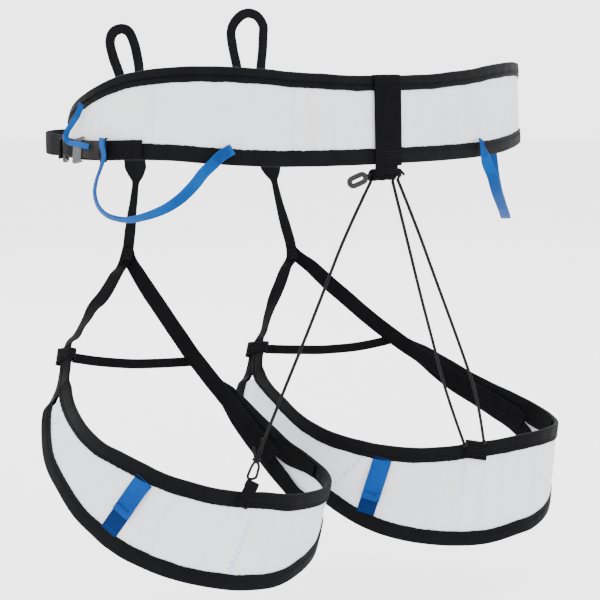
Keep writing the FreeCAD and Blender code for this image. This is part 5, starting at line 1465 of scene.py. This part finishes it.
    # spreader tape
    C = dense(SPR, 0.001)
    o, si = tape(nm + "spreader", C, (0.57, 0.82, 0.15), 0.0070, 0.0011, MAT_WEB2, crown=0.2, wave=(seed + 8, 0.0003, 0.04), nflat=11)
    add(o, p + "spreader")
    for a in (4, 7, 10, -5, -8, -11):
        for sg in (1, -1):
            L = np.stack([si["C"][a] + si["S"][a] * x + si["N"][a] * 0.00068 * sg for x in np.linspace(-0.0023, 0.0023, 8)])
            thr.row(L, np.repeat((si["N"][a] * sg)[None], 8, 0), pitch=0.0011, r=0.00022, rise=0.00026)
    return LS


def patch_frame(LS, x, y):
    i = nearest(LS, x, y)
    t = unit(LS.t[i] - LS.D[i] * np.dot(LS.t[i], LS.D[i]))
    return i, t


def keeper(side, LS, K, half, v1, base_v0, body, kbody, seed):
    i, t = patch_frame(LS, K[0], K[1])
    T0, D0, N0, W0 = LS.T[i], LS.D[i], LS.N[i], LS.W[i]
    p = side + "_leg_"

    def P(v, o, a=0.0):
        return T0 + t * a + D0 * v + N0 * o

    # flap: comes out from under the upper binding, hangs, folds back under itself as a hem
    prof = [(0.0094, 0.95), (0.0104, 1.02), (0.0116, 1.7), (0.0132, 2.6), (0.0152, 3.05)] + [(v, 3.15) for v in np.linspace(0.018, v1 - 0.0065, 9)]
    prof += [(v1 - 0.0028, 3.30), (v1 - 0.0008, 3.25), (v1 - 0.0001, 2.75), (v1 - 0.0008, 2.25), (v1 - 0.0026, 2.12), (v1 - 0.0075, 2.2)]
    C = dense([P(v, o * MM) for v, o in prof], 0.0006)
    tt = unit(np.gradient(C, axis=0))
    FN = unit(np.cross(tt, t))
    if np.dot(FN[len(FN) // 3], N0) < 0:
        FN = -FN
    o, ki = tape(side + " keeper flap", C, FN, 2 * half, 0.00085, MAT_KEEP, crown=0.05, wave=(seed, 0.00012, 0.02), nflat=17, groove=(-half + 0.0012, half - 0.0012), gd=0.00012)
    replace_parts(o, side + "_keeper_flap")
    sew = Threads()
    for v in (v1 - 0.0052, v1 - 0.0062):
        L = np.stack([P(v, 0.0037, a) for a in np.linspace(-half + 0.0008, half - 0.0008, 26)])
        sew.row(L, np.repeat(N0[None], 26, 0), pitch=0.0021, r=0.00028, rise=0.00032)
    z = sew.make(side + " keeper hem sewing", MAT_TACK_B)
    for x in (o, z):
        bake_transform(x, body, kbody, tuple(P(0.0112, 0.003)), tuple(P(0.0165, 0.003)))
    # under-tape, in a darker copy of the keeper blue: painted shade under the hanging flap
    prof = [(v, 1.35) for v in np.linspace(base_v0 - 0.004, W0 - 0.0118, 14)] + [(W0 - 0.0100, 1.62)]
    C = dense([P(v, o * MM) for v, o in prof], 0.0006)
    o, bi = tape(side + " keeper under tape", C, N0, 2 * half - 0.0004, 0.0008, MAT_KEEP_SHADED, crown=0.05, wave=(seed + 1, 0.0001, 0.02), nflat=15)
    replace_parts(o, p + "keeper_base")
    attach(o, body)
    sew = Threads()
    for v in (W0 - 0.0128,):
        L = np.stack([P(v, 0.0019, a) for a in np.linspace(-half + 0.001, half - 0.001, 24)])
        sew.row(L, np.repeat(N0[None], 24, 0), pitch=0.0018, r=0.00024, rise=0.00026)
    for v in (0.0088,):
        L = np.stack([P(v, 0.00215, a) for a in np.linspace(-half, half, 24)])
        sew.row(L, np.repeat(N0[None], 24, 0), pitch=0.0013, r=0.00024, rise=0.00026)
    z = sew.make(side + " keeper base sewing", MAT_TACK_B)
    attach(z, body)


def back_tab(side, LS, K, half, v0, v1, body, seed, thr):
    i, t = patch_frame(LS, K[0], K[1])
    T0, D0, N0 = LS.T[i], LS.D[i], LS.N[i]

    def P(v, o, a=0.0):
        return T0 + t * a + D0 * v + N0 * o

    prof = [(v1, 2.45), (v1 * 0.6, 2.65), (v1 * 0.2, 2.65), (v0 * 0.5, 2.6), (v0 + 0.0014, 2.7), (v0 + 0.0002, 2.2), (v0 + 0.0001, 1.4), (v0 + 0.0012, 0.8), (v0 * 0.45, 0.9)]
    if v0 > -0.006:
        prof = [(v1, 2.45), (v1 * 0.6, 2.65), (v1 * 0.2, 2.65), (-0.0012, 2.6), (v0 + 0.0003, 1.9), (v0, 0.6), (v0 + 0.0004, -0.8), (-0.0012, -2.0)]
    C = dense([P(v, o * MM) for v, o in prof], 0.0005)
    tt = unit(np.gradient(C, axis=0))
    FN = unit(np.cross(tt, t))
    if np.dot(FN[3], N0) < 0:
        FN = -FN
    o, info = tape(side + " elastic tab", C, FN, 2 * half, 0.0010, MAT_WEB, wave=(seed, 0.00012, 0.01), nflat=13)
    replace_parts(o, side + "_leg_elastic_tab")
    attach(o, body)
    for v in (v1 - 0.0012, v1 - 0.0034, 0.0022):
        L = np.stack([P(v, 0.00335, a) for a in np.linspace(-half + 0.0006, half - 0.0006, 16)])
        thr.row(L, np.repeat(N0[None], 16, 0), pitch=0.0012, r=0.00024, rise=0.0003)


LSL = leg("left", LEG_L_TOP, LEG_L_BOT, WIDE_L, BR_L, RIS_L, SPR_L, [(40.0, 0.55, 1.6, 4.5, 0.9, BLUE_T, 0.75), (225.0, 0.0, 1.6, 4.5, 0.9, BLUE_T, 0.70)], KEEP_L, TAB_L, 61, "left_leg_loop")
LSR = leg("right", LEG_R_TOP, LEG_R_BOT, WIDE_R, BR_R, RIS_R, SPR_R, [(150.0, -0.3, 1.6, 4.5, 0.9, BLUE_T, 0.75), (225.0, 0.1, 1.6, 4.5, 0.9, BLUE_T, 0.70)], KEEP_R, TAB_R, 81, "right_leg_loop")
keeper("left", LSL, KEEP_L, 0.0066, 0.0385, 0.041, "left_leg_loop", "left_keeper", 71)
keeper("right", LSR, KEEP_R, 0.0068, 0.0415, 0.044, "right_leg_loop", "right_keeper", 75)
back_tab("left", LSL, TAB_L, 0.0044, -0.009, 0.0095, "left_leg_loop", 78, THR_L)
back_tab("right", LSR, TAB_R, 0.0086, -0.0004, 0.0112, "right_leg_loop", 79, THR_R)

# knot and cord bight at the left tab
for o in knot("left cord knot", KNOT_L[0], 0.0021, (0.25, 0.1, 1.0), 0.00105, MAT_CORD, "left_leg_cord_knot",
              tails=[[(KNOT_L[0][0] - 0.0024, KNOT_L[0][1] + 0.0016, KNOT_L[0][2] + 0.0060), (KNOT_L[0][0] - 0.0030, KNOT_L[0][1] + 0.0024, KNOT_L[0][2] + 0.0145)],
                     [(KNOT_L[0][0] + 0.0026, KNOT_L[0][1] + 0.0016, KNOT_L[0][2] + 0.0040), (KNOT_L[0][0] + 0.0040, KNOT_L[0][1] + 0.0024, KNOT_L[0][2] + 0.0095)]]):
    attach(o, "left_leg_loop")
lp = cord_line(LOOP_PTS)
kn = A(KNOT_L[0])
lp = dense([kn + (lp[0] - kn) * 0.25 + A([0, 0, 0.0004])] + [p for p in lp[::4]] + [kn + (lp[-1] - kn) * 0.25 + A([0, 0, 0.0004])], 0.0006)
o = tube("left cord loop", lp, 0.0009, MAT_CORD, 12)
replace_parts(o, "left_leg_cord_loop")
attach(o, "left_leg_loop")
# ends of the two right cords, knotted where they meet the tab
for k, P in enumerate((PR, PR2)):
    e = P[-1]
    for o in knot(f"right cord end {k + 1}", e + A([0, 0, 0.0004]), 0.0015, (0.3, 0.1, 1.0), 0.00085, MAT_CORD, None):
        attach(o, "right_leg_loop")
for nm, thr, body in (("left leg sewing", THR_L, "left_leg_loop"), ("right leg sewing", THR_R, "right_leg_loop")):
    o = thr.make(nm, MAT_THREAD)
    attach(o, body)

for name in MADE:
    o = bpy.data.objects[name]
    if o.parent is None and "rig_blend" not in o:
        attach(o, "waist_belt")

# ------------------------------------------------------------------ camera, light, floor
C0 = A([0.5736, 0.8192, 0.0])
R0 = A([-0.8192, 0.5736, 0.0])
AIM = R0 * (-0.002) + A([0, 0, -0.137])
EL = math.radians(8.5)
cam = bpy.data.cameras.new("camera")
cam.lens, cam.sensor_width = 108.3, 36.0
co = bpy.data.objects.new("camera", cam)
bpy.context.scene.collection.objects.link(co)
loc = AIM + (C0 * math.cos(EL) + A([0, 0, 1]) * math.sin(EL)) * 1.3
co.location = tuple(loc)
co.rotation_euler = (Vector(AIM) - Vector(loc)).to_track_quat("-Z", "Y").to_euler()
bpy.context.scene.camera = co


def area(name, pos, aim, power, size, col=(1, 1, 1)):
    L = bpy.data.lights.new(name, "AREA")
    L.energy, L.size, L.color = power, size, col
    o = bpy.data.objects.new(name, L)
    bpy.context.scene.collection.objects.link(o)
    o.location = pos
    o.rotation_euler = (Vector(aim) - Vector(pos)).to_track_quat("-Z", "Y").to_euler()
    return o


area("key", (1.5, 1.3, 1.3), (0, 0, -0.12), 30.0, 1.1, (1.0, 0.99, 0.97))
area("fill", (-1.6, 1.2, 0.5), (0, 0, -0.15), 8.0, 1.4, (0.96, 0.98, 1.0))
area("top", (0.1, 0.2, 1.9), (0, 0, -0.15), 16.0, 1.6)
area("back", (-0.5, -1.6, 0.9), (0, 0, -0.1), 14.0, 1.2)
w = bpy.data.worlds.new("studio")
bpy.context.scene.world = w
w.use_nodes = True
bg = w.node_tree.nodes["Background"]
bg.inputs[0].default_value = (1.0, 1.0, 1.0, 1.0)
bg.inputs[1].default_value = 3.6

me = bpy.data.meshes.new("floor")
R, Z = 6.0, -0.375
seg = 48
vs = [(0, 0, Z)] + [(R * math.cos(2 * math.pi * k / seg), R * math.sin(2 * math.pi * k / seg), Z) for k in range(seg)]
me.from_pydata(vs, [], [(0, 1 + k, 1 + (k + 1) % seg) for k in range(seg)])
floor = bpy.data.objects.new("floor", me)
bpy.context.scene.collection.objects.link(floor)
m = M("pale_floor")
f = m.noise(5.0, 2.0, 0.4)
me.materials.append(m.done(m.bsdf(m.mix(f, (0.90, 0.90, 0.905), (0.93, 0.93, 0.93)), 0.9, base=(0.92, 0.92, 0.92))))
